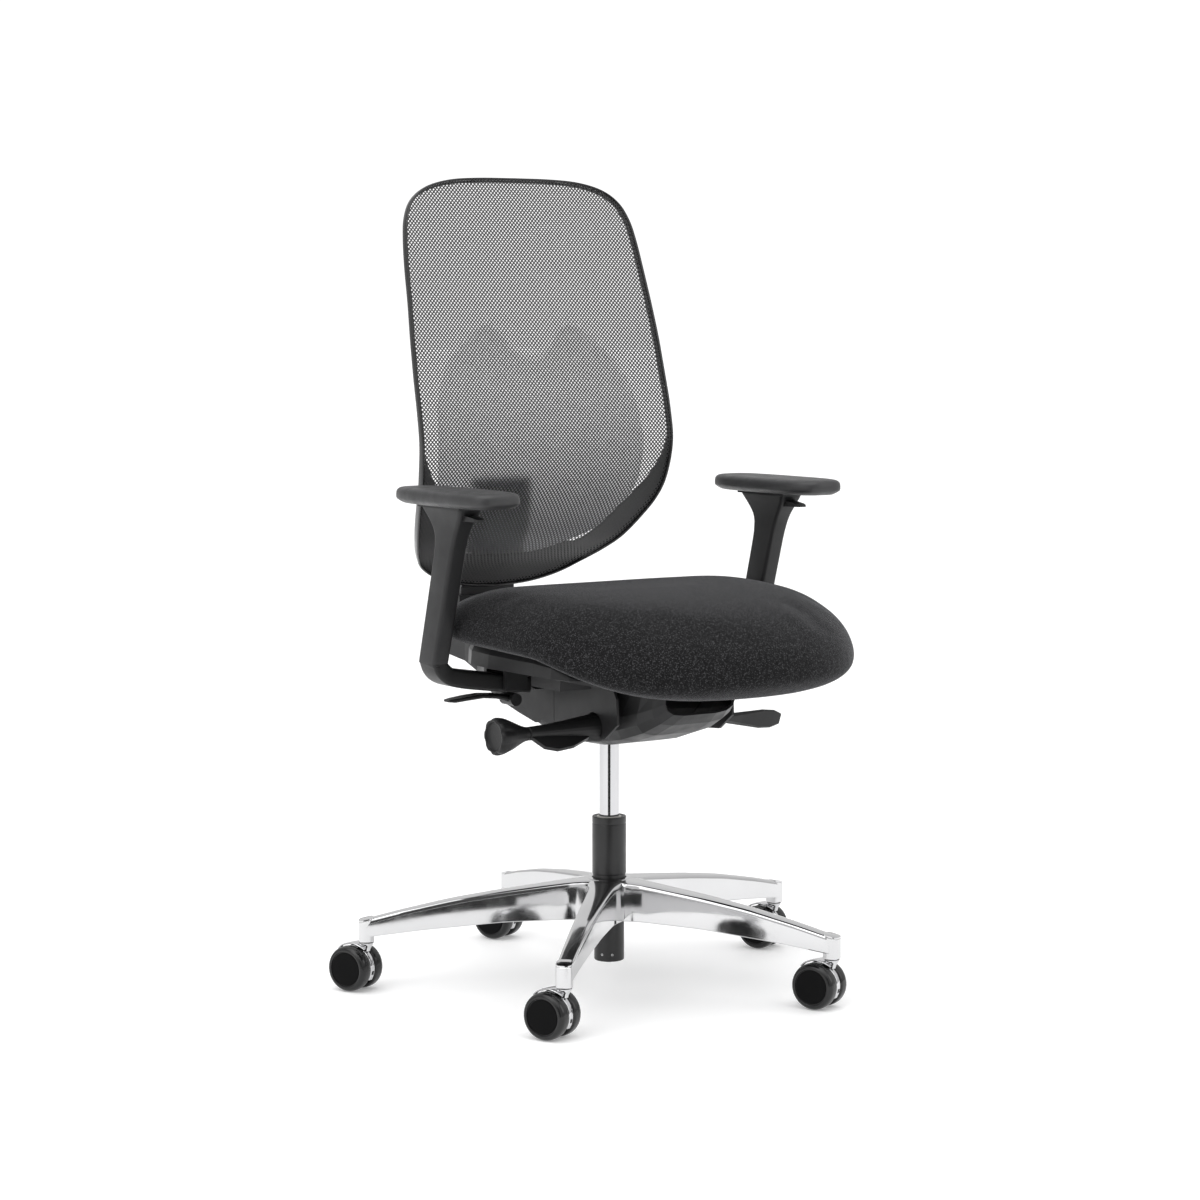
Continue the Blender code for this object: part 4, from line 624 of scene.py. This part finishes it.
def make_arm(s, tag):
    def mir(p):
        return Vector((s * p[0], p[1], p[2]))
    # bracket
    st = [(0.1180, 0.0360, 0.4275, 0.0110, 0.0190), (0.1500, 0.0365, 0.4315, 0.0120, 0.0195), (0.2000, 0.0370, 0.4385, 0.0125, 0.0200),
          (0.2300, 0.0365, 0.4435, 0.0125, 0.0205), (0.2490, 0.0350, 0.4490, 0.0122, 0.0205), (0.2610, 0.0320, 0.4580, 0.0118, 0.0205),
          (0.2665, 0.0305, 0.4672, 0.0112, 0.0203), (0.2670, 0.0297, 0.4702, 0.0112, 0.0203)]
    fine = catmull(st, 5)
    path = [Vector(p[:3]) for p in fine]
    rings = []
    for i, p in enumerate(fine):
        t = (path[min(i + 1, len(path) - 1)] - path[max(i - 1, 0)]).normalized()
        depth = (Vector((0, 1, 0)) - t * t.y).normalized()
        up = t.cross(depth).normalized()
        if i >= len(fine) - 3:
            depth, up = Vector((0, 1, 0)), Vector((-1, 0, 0))
        rings.append([mir(path[i] + up * a + depth * b) for a, b in rounded(p[3], p[4], 0.0048, 5)])
    for z in (0.4706, 0.5400, 0.6150):
        rings.append([mir((ARM_X - a, post_y(z) + b, z)) for a, b in rounded(0.0090, 0.0177, 0.0030, 5)])
    br = loft(f"bracket_{tag}", rings, BLACK_PLASTIC, 38)
    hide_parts(f"arm_bracket_{tag}")
    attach(br, f"arm_bracket_{tag}")

    # sleeve and flared head
    prof = [(SLEEVE_BOT, 0.0119, 0.0206, 0), (SLEEVE_BOT + 0.0010, 0.0125, 0.0212, 0), (0.5500, 0.0125, 0.0218, 0), (0.6150, 0.0126, 0.0226, 0), (0.6330, 0.0128, 0.0243, 0.0004), (0.6430, 0.0130, 0.0264, 0.001),
            (0.6520, 0.0135, 0.0304, 0.0024), (0.6600, 0.0144, 0.0358, 0.0045), (0.6680, 0.0158, 0.0415, 0.0070), (0.6750, 0.0175, 0.0462, 0.0096), (SLEEVE_TOP - 0.0008, 0.0185, 0.0482, 0.0112), (SLEEVE_TOP, 0.0180, 0.0478, 0.0115)]
    rings = []
    for z, hx, hy, dy in catmull(prof, 3):
        rings.append([mir((ARM_X + a, post_y(z) + dy + b, z)) for a, b in rounded(hx, hy, 0.0052, 6)])
    sl = loft(f"sleeve_{tag}", rings, SLEEVE_PLASTIC, 38)
    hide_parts(f"arm_sleeve_{tag}")
    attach(sl, f"arm_sleeve_{tag}")

    # pad: crowned soft skin over a chamfered underside
    rings = []
    for z, g in ((PAD_Z0, -0.0100), (PAD_Z0 + 0.0006, -0.0085), (PAD_Z0 + 0.0030, -0.0040), (PAD_Z0 + 0.0055, -0.0008), (PAD_Z0 + 0.0075, 0.0), (PAD_Z0 + 0.0120, 0.0), (PAD_Z0 + 0.0150, -0.0004),
                 (PAD_Z0 + 0.0172, -0.0014), (PAD_Z0 + 0.0190, -0.0032), (PAD_Z0 + 0.0202, -0.0056), (PAD_Z0 + 0.0209, -0.0090), (PAD_Z0 + 0.0213, -0.0140), (PAD_Z0 + 0.0217, -0.0240), (PAD_Z1, -0.0360)):
        ring = []
        for i in range(96):
            u, v = superellipse(2 * math.pi * i / 96, 3.6, 3.2)
            ring.append((s * ARM_X + (PAD_WID / 2 + g) * u * (1 - 0.035 * v), PAD_Y + (PAD_LEN / 2 + g) * v, z))
        rings.append(ring)
    pad = loft(f"pad_{tag}", rings, SKIN, None)
    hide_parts(f"arm_pad_{tag}")
    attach(pad, f"arm_pad_{tag}")


# ------------------------------------------------------------------ back
FINE = [tuple(p) for p in catmull(BACK_SIDE, 6)]
FZ, FY = [p[0] for p in FINE], [p[1] for p in FINE]


def back_y(z):
    return float(np.interp(z, FZ, FY))


def belly(z):
    return float(np.interp(z, [0.53, 0.70, 0.85, 1.13], [0.003, 0.004, 0.009, 0.010]))


def band(z):
    return float(np.interp(z, [0.53, 0.60, 0.64, 0.67, 0.70, 0.73, 0.76, 1.2], [0.0450, 0.0440, 0.0400, 0.0330, 0.0210, 0.0090, 0.0030, 0.0030]))


def back_loop(per):
    half = catmull([(w, z) for z, w in BACK_HALF], per)
    return [(x, z) for x, z in half] + [(-x, z) for x, z in half[-2:0:-1]]


def loop_frames(loop):
    pts = [Vector((x, back_y(z), z)) for x, z in loop]
    out = []
    for i, p in enumerate(pts):
        t = (pts[(i + 1) % len(pts)] - pts[i - 1]).normalized()
        slope = (back_y(p.z + 0.004) - back_y(p.z - 0.004)) / 0.008
        depth = Vector((0, 1, -slope)).normalized()
        inward = depth.cross(t).normalized()
        if inward.dot(Vector((0, 0, 0.83)) - Vector((p.x, 0, p.z))) < 0:
            inward = -inward
        out.append((p, inward, depth))
    return out


def make_back():
    rings = []
    for p, inward, depth in loop_frames(back_loop(6)):
        w = max(band(p.z) - 0.0022, 0.0006) + 0.0010
        d = float(np.interp(p.z, [0.66, 0.78], [0.0110, 0.0080]))
        sec = [(0.0014, -0.0030), (0.0007, -0.0026), (0.0002, -0.0014), (0.0, 0.0), (0.0, d - 0.0026), (0.0004, d - 0.0010), (0.0014, d), (BEAD_W + w - 0.0008, d),
               (BEAD_W + w, d - 0.0008), (BEAD_W + w, d - 0.0024), (BEAD_W + w - 0.0008, d - 0.0032), (BEAD_W, d - 0.0032), (BEAD_W, -0.0012), (BEAD_W - 0.0004, -0.0024), (BEAD_W - 0.0010, -0.0030)]
        rings.append([p + inward * a + depth * b for a, b in sec])
    bm = bmesh.new()
    add_loft(bm, rings, closed=True)
    bm.faces.ensure_lookup_table()
    n = 15
    for i, f in enumerate(bm.faces):
        f.material_index = 1 if (i % n) in (6, 7, 8, 9, 10) else 0
    fr = finish_mesh("back_hoop", bm, [GLOSS_BLACK, BAND_BLACK], 40)
    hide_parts("back_frame")
    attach(fr, "backrest")

    # open knit: a net of diamond holes stretched over the hoop
    edge = [(p + inward * (BEAD_W * 0.6)) for p, inward, depth in loop_frames(back_loop(6))]
    cz = 0.845
    ang = np.array([math.atan2(p.z - cz, p.x) for p in edge])
    rad = np.array([math.hypot(p.x, p.z - cz) for p in edge])
    order = np.argsort(ang)
    ang, rad = ang[order], rad[order]
    ang3, rad3 = np.concatenate([ang - 2 * np.pi, ang, ang + 2 * np.pi]), np.concatenate([rad] * 3)
    px, pz, q = 0.0058, 0.0060, 0.530
    nx, nz = int(0.225 / px) + 2, int(0.62 / pz) + 2

    def frac(x, z):
        return np.hypot(x, z - cz) / np.interp(np.arctan2(z - cz, x), ang3, rad3)
    cells = []
    for off in (0.0, 0.5):
        i, j = np.meshgrid(np.arange(-nx, nx + 1), np.arange(-2, nz + 1))
        cells.append(np.stack([(i + off) * px, 0.530 + (j + off) * pz], -1).reshape(-1, 2))
    cells = np.concatenate(cells)
    keep = frac(cells[:, 0], cells[:, 1]) < 0.998
    cells = cells[keep]
    index, verts, faces = {}, [], []

    def vert(x, z):
        key = (round(x * 1e5), round(z * 1e5))
        if key not in index:
            index[key] = len(verts)
            verts.append((x, z))
        return index[key]
    for x, z in cells:
        o = [vert(x + dx, z + dz) for dx, dz in ((px / 2, 0), (0, pz / 2), (-px / 2, 0), (0, -pz / 2))]
        i = [vert(x + dx * q, z + dz * q) for dx, dz in ((px / 2, 0), (0, pz / 2), (-px / 2, 0), (0, -pz / 2))]
        for k in range(4):
            faces.append((o[k], o[(k + 1) % 4], i[(k + 1) % 4], i[k]))
    v = np.array(verts)
    s = np.minimum(frac(v[:, 0], v[:, 1]), 1.0)
    y = np.interp(v[:, 1], FZ, FY) + 0.0012 + np.interp(v[:, 1], [0.53, 0.70, 0.85, 1.13], [0.003, 0.004, 0.009, 0.010]) * (1 - s * s)
    mesh = bpy.data.meshes.new("back_net")
    mesh.from_pydata([(a, b, c) for a, b, c in zip(v[:, 0], y, v[:, 1])], [], faces)
    mesh.shade_smooth()
    mesh.materials.append(KNIT)
    net = bpy.data.objects.new("back_net", mesh)
    net.location = S
    COL.objects.link(net)
    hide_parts("back_mesh")
    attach(net, "backrest")

    # lumbar shell
    def edge_x(z):
        return float(np.interp(z, [0.600, 0.620, 0.660, 0.700, 0.750, 0.805, 0.831, 0.867, 0.900, 0.930], [0.126, 0.142, 0.160, 0.1710, 0.1745, 0.1690, 0.1610, 0.1440, 0.124, 0.108]))
    bm = bmesh.new()
    rows = []
    for i in range(37):
        t, row = i / 36, []
        for j in range(49):
            u = -1 + 2 * j / 48
            z0 = 0.5870 + 0.046 * abs(u) ** 3.0
            valley = 0.5 + 0.5 * math.cos(math.pi * min(abs(u) / 0.62, 1.0))
            lobe = 0.926 - 0.052 * valley - 0.060 * (max(abs(u) - 0.62, 0.0) / 0.38) ** 2
            z = z0 + (lobe - z0) * t
            row.append(bm.verts.new((u * edge_x(z), back_y(z) + belly(z) + 0.0135, z)))
        rows.append(row)
    for a, b in zip(rows, rows[1:]):
        for j in range(48):
            bm.faces.new((a[j], a[j + 1], b[j + 1], b[j]))
    lum = finish_mesh("lumbar_shell", bm, FROSTED, 50)
    m = lum.modifiers.new("wall", "SOLIDIFY")
    m.thickness, m.offset = 0.0024, 0.0
    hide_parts("lumbar_support")
    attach(lum, "backrest")


# ------------------------------------------------------------------ tension grip
def make_grip():
    """Flared grip with a scalloped rim and a recessed face, on the shaft through the release lever."""
    m = Matrix.Translation((-0.0822, LEVER_Y, LEVER_Z)) @ Matrix.Rotation(math.radians(-90), 4, "Y")
    prof = soft_profile([(0.0002, -0.0080), (0.0058, -0.0080), (0.0058, 0.1212), (0.0092, 0.1214), (0.0098, 0.1260), (0.0114, 0.1310), (0.0140, 0.1370), (0.0168, 0.1430), (0.0200, 0.1500), (0.0226, 0.1560), (0.0242, 0.1610),
                         (0.0250, 0.1660), (0.0252, 0.1700), (0.0242, 0.1738), (0.0222, 0.1748), (0.0196, 0.1744), (0.0186, 0.1722), (0.0176, 0.1712), (0.0090, 0.1710), (0.0002, 0.1709)], 0.0009, 3)
    rings = []
    for r, z in prof:
        deep = 0.075 * float(np.interp(z, [0.146, 0.160, 0.175], [0.0, 1.0, 1.0])) * float(np.interp(r, [0.0190, 0.0222], [0.0, 1.0]))
        rings.append([m @ Vector((r * f * math.cos(t), r * f * math.sin(t), z)) for t, f in
                      ((2 * math.pi * i / 128, 1 - deep * (0.5 + 0.5 * math.cos(8 * 2 * math.pi * (i + 8) / 128)) ** 2) for i in range(128))])
    bm = bmesh.new()
    faces = add_loft(bm, rings)
    for i, f in enumerate(faces):
        if prof[i // 128][1] > 0.150 and prof[i // 128][0] < 0.0180:
            f.material_index = 1
    bm.faces.ensure_lookup_table()
    bm.faces[-1].material_index = 1
    grip = finish_mesh("tension_grip", bm, [DARK_PLASTIC, BLACK_PLASTIC], 40)
    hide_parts("tension_knob")
    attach(grip, "tension_knob")


# ------------------------------------------------------------------ seat cushion
def make_cushion():
    """Cloth inflated over the cushion's own solid, held where it wraps under its pan."""
    lo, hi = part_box("seat_cushion")
    half, front, rear = 0.2474, -0.3726, 0.1071
    yc, hd = (front + rear) / 2, (rear - front) / 2

    def along(y, a, b, c):
        t = (y - front) / (rear - front)
        return a * (1 - t) * (1 - 2 * t) + b * 4 * t * (1 - t) + c * t * (2 * t - 1)
    rings = []
    for a in list(np.linspace(-89, -8, 16)) + list(np.linspace(0, 88, 26)):
        v, ring = math.radians(float(a)), []
        for i in range(128):
            fx, fy = superellipse(2 * math.pi * i / 128, 2.3, 5.6)
            sq = 0.5 + 0.5 * fy                               # 0 at the nose, 1 at the rear
            k = math.cos(v) ** (0.50 - 0.37 * sq) * 0.992     # the rear wall stands up straighter
            h = math.sin(abs(v)) ** (0.9 + 0.15 * sq)
            x, y = half * fx * k, yc + hd * fy * k
            waist = along(y, 0.4743, 0.4961, 0.5165)
            under = float(np.interp(y, [-0.36, -0.33, -0.29, -0.25, -0.21, -0.17, 0.12], [0.432, 0.4235, 0.4290, 0.4450, 0.4660, 0.4840, 0.4890]))
            z = waist + h * (along(y, 0.0620, 0.0726, 0.0365) - 0.0015) if v >= 0 else waist + h * (under - waist)
            ring.append(Vector((x, y, z)) + S)
        rings.append(ring)
    bm = bmesh.new()
    add_loft(bm, rings)
    ob = finish_mesh("cushion", bm, CLOTH, None)
    ob.location = (0, 0, 0)
    mesh = ob.data
    rm = ob.modifiers.new("even", "REMESH")
    rm.mode, rm.voxel_size, rm.use_smooth_shade = "VOXEL", 0.0060, True
    bake(ob)
    n = len(ob.data.vertices)
    co = np.zeros(n * 3)
    ob.data.vertices.foreach_get("co", co)
    start = co.reshape(-1, 3).copy()
    waist = np.interp(start[:, 1] - S.y, [-0.3726, -0.1330, 0.1071], [0.4743, 0.4961, 0.5165])
    hold = np.clip((waist - 0.004 - start[:, 2]) / 0.012, 0, 1)
    vg = ob.vertex_groups.new(name="hold")
    for i in np.nonzero(hold > 0)[0]:
        vg.add([int(i)], float(hold[i]), "REPLACE")
    cl = ob.modifiers.new("cloth", "CLOTH")
    st = cl.settings
    st.use_pressure = True
    st.uniform_pressure_force = 4.0
    st.effector_weights.gravity = 0.0
    st.quality = 5
    st.mass = 0.3
    st.tension_stiffness = st.compression_stiffness = 18
    st.shear_stiffness = 8
    st.bending_stiffness = 1.2
    st.vertex_group_mass = "hold"
    cl.collision_settings.use_collision = False
    cl.point_cache.frame_start, cl.point_cache.frame_end = 1, 20
    scene = bpy.context.scene
    for f in range(1, 21):
        scene.frame_set(f)
    dg = bpy.context.evaluated_depsgraph_get()
    ev = ob.evaluated_get(dg).data
    end = np.zeros(n * 3)
    ev.vertices.foreach_get("co", end)
    end = end.reshape(-1, 3)
    ob.modifiers.remove(cl)
    scene.frame_set(1)
    move = end - start
    size = np.linalg.norm(move, axis=1, keepdims=True)
    move *= np.minimum(1.0, 0.0045 / np.maximum(size, 1e-9))
    move *= (1 - hold)[:, None]
    ob.data.vertices.foreach_set("co", (start + move).ravel())
    ob.data.update()
    ob.vertex_groups.clear()
    sm = ob.modifiers.new("relax", "SMOOTH")
    sm.factor, sm.iterations = 0.5, 30
    ss = ob.modifiers.new("fine", "SUBSURF")
    ss.levels = ss.render_levels = 1
    bake(ob)
    n = len(ob.data.vertices)
    co = np.zeros(n * 3)
    ob.data.vertices.foreach_get("co", co)
    co = co.reshape(-1, 3)
    for a in (0, 1, 2):      # the finished cushion fills its own solid exactly
        l, h = co[:, a].min(), co[:, a].max()
        co[:, a] = lo[a] + (co[:, a] - l) * (hi[a] - lo[a]) / (h - l)
    ob.data.vertices.foreach_set("co", co.ravel())
    ob.data.update()
    ob.data.shade_smooth()
    ob.data.materials.clear()
    ob.data.materials.append(CLOTH)
    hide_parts("seat_cushion")
    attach(ob, "seat")


def bake(ob):
    """Applies every modifier of an object to its mesh."""
    dg = bpy.context.evaluated_depsgraph_get()
    mesh = bpy.data.meshes.new_from_object(ob.evaluated_get(dg), depsgraph=dg)
    old = ob.data
    ob.modifiers.clear()
    ob.data = mesh
    if old.users == 0:
        bpy.data.meshes.remove(old)


# ------------------------------------------------------------------ carried-over CAD nodes
def make_rest():
    paint = {
        "mechanism_housing": DARK_PLASTIC, "front_cover": DARK_PLASTIC, "back_carrier": DARK_PLASTIC, "seat_carrier": DARK_PLASTIC,
        "seat_pan": DARK_PLASTIC, "back_post": BAND_BLACK, "height_lever": BLACK_PLASTIC, "tilt_lever": BLACK_PLASTIC,
        "width_lever_l": BLACK_PLASTIC, "width_lever_r": BLACK_PLASTIC, "arm_trigger_l": BLACK_PLASTIC, "arm_trigger_r": BLACK_PLASTIC,
        "pad_plate_l": BLACK_PLASTIC, "pad_plate_r": BLACK_PLASTIC, "column_socket": BLACK_STEEL, "spring_seat": BLACK_STEEL,
        "piston_rod": STEEL, "thrust_bearing": STEEL, "rod_clip": STEEL, "release_pin": STEEL, "recline_axle": BLACK_STEEL, "seat_axle": BLACK_STEEL,
        "tilt_spring": SPRING, "bump_ring": RUBBER, "column_bush": NATURAL}
    for n in range(1, 6):
        paint[f"caster_axle_{n}"] = STEEL
    for node, mat in paint.items():
        repaint(node, mat)
    for node, w in (("mechanism_housing", 0.0006), ("front_cover", 0.0006), ("back_carrier", 0.0014), ("seat_carrier", 0.0010), ("seat_pan", 0.0008),
                    ("back_post", 0.0014), ("height_lever", 0.0008), ("tilt_lever", 0.0008), ("width_lever_l", 0.0006),
                    ("width_lever_r", 0.0006), ("arm_trigger_l", 0.0005), ("arm_trigger_r", 0.0005), ("pad_plate_l", 0.0006), ("pad_plate_r", 0.0006), ("column_socket", 0.0006)):
        soften(node, w)


# ------------------------------------------------------------------ studio
def make_studio():
    bm = bmesh.new()
    bmesh.ops.create_grid(bm, x_segments=1, y_segments=1, size=80.0)
    floor = finish_mesh("floor", bm, [], None)
    floor.location = (0, 0, -0.0004)
    k = Nodes("floor")
    k.link(k.ramp(k.noise(1.5, 2.0), [(0.3, 0.885), (0.7, 0.895)]), k.bsdf.inputs["Base Color"])
    k.bsdf.inputs["Roughness"].default_value = 0.55
    k.bsdf.inputs["Specular IOR Level"].default_value = 0.25
    k.bsdf.inputs["Emission Color"].default_value = (1.0, 1.0, 1.0, 1.0)
    k.bsdf.inputs["Emission Strength"].default_value = 0.20
    floor.data.materials.append(k.mat)

    # black flag lying in front, out of the picture: gives polished parts their dark streak
    a = math.radians(-34.5)
    out, across = Vector((math.sin(a), -math.cos(a), 0)), Vector((math.cos(a), math.sin(a), 0))
    bm = bmesh.new()
    bm.faces.new([bm.verts.new(out * d + across * w + Vector((0, 0, 0.002))) for d, w in ((0.80, -0.20), (0.80, 0.20), (4.6, 1.25), (4.6, -1.25))])
    flag = finish_mesh("flag", bm, [], None)
    k = Nodes("flag")
    k.link(k.ramp(k.noise(3.0, 2.0), [(0.3, 0.020), (0.7, 0.026)]), k.bsdf.inputs["Base Color"])
    k.bsdf.inputs["Roughness"].default_value = 0.9
    k.bsdf.inputs["Specular IOR Level"].default_value = 0.05
    flag.data.materials.append(k.mat)
    flag.visible_camera = flag.visible_diffuse = flag.visible_shadow = flag.visible_transmission = False

    w = bpy.data.worlds.new("studio")
    bpy.context.scene.world = w
    w.use_nodes = True
    t = w.node_tree
    bg = t.nodes["Background"]

    def node(kind, op=None):
        nd = t.nodes.new("ShaderNode" + kind)
        if op:
            nd.operation = op
        return nd

    def calc(op, a, b=None):
        nd = node("Math", op)
        for i, v in enumerate((a, b)):
            if v is None:
                continue
            if isinstance(v, (int, float)):
                nd.inputs[i].default_value = v
            else:
                t.links.new(v, nd.inputs[i])
        return nd.outputs[0]
    tc, sep = node("TexCoord"), node("SeparateXYZ")
    t.links.new(tc.outputs["Generated"], sep.inputs[0])
    x, y, z = sep.outputs
    # a dark gap between the soft boxes, narrow and tall, off to one side of the chair's front
    gap = math.radians(GAP_ANGLE)
    gx, gy = math.sin(gap), -math.cos(gap)
    facing = calc("ADD", calc("MULTIPLY", x, gx), calc("MULTIPLY", y, gy))
    side = calc("ABSOLUTE", calc("ADD", calc("MULTIPLY", x, -gy), calc("MULTIPLY", y, gx)))
    narrow = node("MapRange")
    t.links.new(side, narrow.inputs["Value"])
    narrow.interpolation_type = "SMOOTHSTEP"
    narrow.inputs["From Min"].default_value, narrow.inputs["From Max"].default_value = 0.20, 0.30
    narrow.inputs["To Min"].default_value, narrow.inputs["To Max"].default_value = 1.0, 0.0
    dark = calc("MULTIPLY", narrow.outputs["Result"], calc("GREATER_THAN", facing, 0.0))
    # and a dim ring low down behind, where the sweep ends
    ramp = node("ValToRGB")
    t.links.new(z, ramp.inputs["Fac"])
    el = ramp.color_ramp.elements
    el[0].position, el[0].color = 0.0, (0.66, 0.66, 0.66, 1)
    el[1].position, el[1].color = 1.0, (0.80, 0.80, 0.81, 1)
    mid = el.new(0.30)
    mid.color = (0.86, 0.86, 0.86, 1)
    mix = node("Mix")
    mix.data_type = "RGBA"
    t.links.new(calc("MULTIPLY", dark, 0.93), mix.inputs["Factor"])
    t.links.new(ramp.outputs["Color"], mix.inputs[6])
    mix.inputs[7].default_value = (0.05, 0.05, 0.05, 1.0)
    # the backdrop itself is plain white
    path, plain = node("LightPath"), node("Mix")
    plain.data_type = "RGBA"
    t.links.new(path.outputs["Is Camera Ray"], plain.inputs["Factor"])
    t.links.new(mix.outputs[2], plain.inputs[6])
    plain.inputs[7].default_value = (1.10, 1.10, 1.10, 1.0)
    t.links.new(plain.outputs[2], bg.inputs["Color"])
    bg.inputs["Strength"].default_value = 1.0

    sun = bpy.data.lights.new("sky_panel", "SUN")
    sun.energy, sun.angle = 1.48, math.radians(80)
    so = bpy.data.objects.new("sky_panel", sun)
    COL.objects.link(so)
    so.rotation_euler = (math.radians(14), math.radians(-10), 0)

    def area(name, pos, aim, size, power, size_y=None):
        li = bpy.data.lights.new(name, "AREA")
        li.shape = "RECTANGLE"
        li.size, li.size_y = size, size_y or size
        li.energy = power
        ob = bpy.data.objects.new(name, li)
        COL.objects.link(ob)
        d = Vector(aim) - Vector(pos)
        ob.location = pos
        ob.rotation_euler = d.to_track_quat("-Z", "Y").to_euler()
    area("key_top", (-0.6, -0.8, 3.4), (0, 0, 0.5), 2.4, 30)
    area("left_soft", (-3.2, -0.6, 2.0), (0, 0, 0.6), 1.6, 16, 2.2)
    area("right_soft", (2.6, -2.2, 1.8), (0, 0, 0.5), 1.2, 12, 2.0)


bpy.context.scene.view_settings.view_transform = "Standard"
make_base()
make_casters()
for side, tg in ((-1, "r"), (1, "l")):
    make_arm(side, tg)
make_back()
make_grip()
make_cushion()
make_rest()
make_studio()
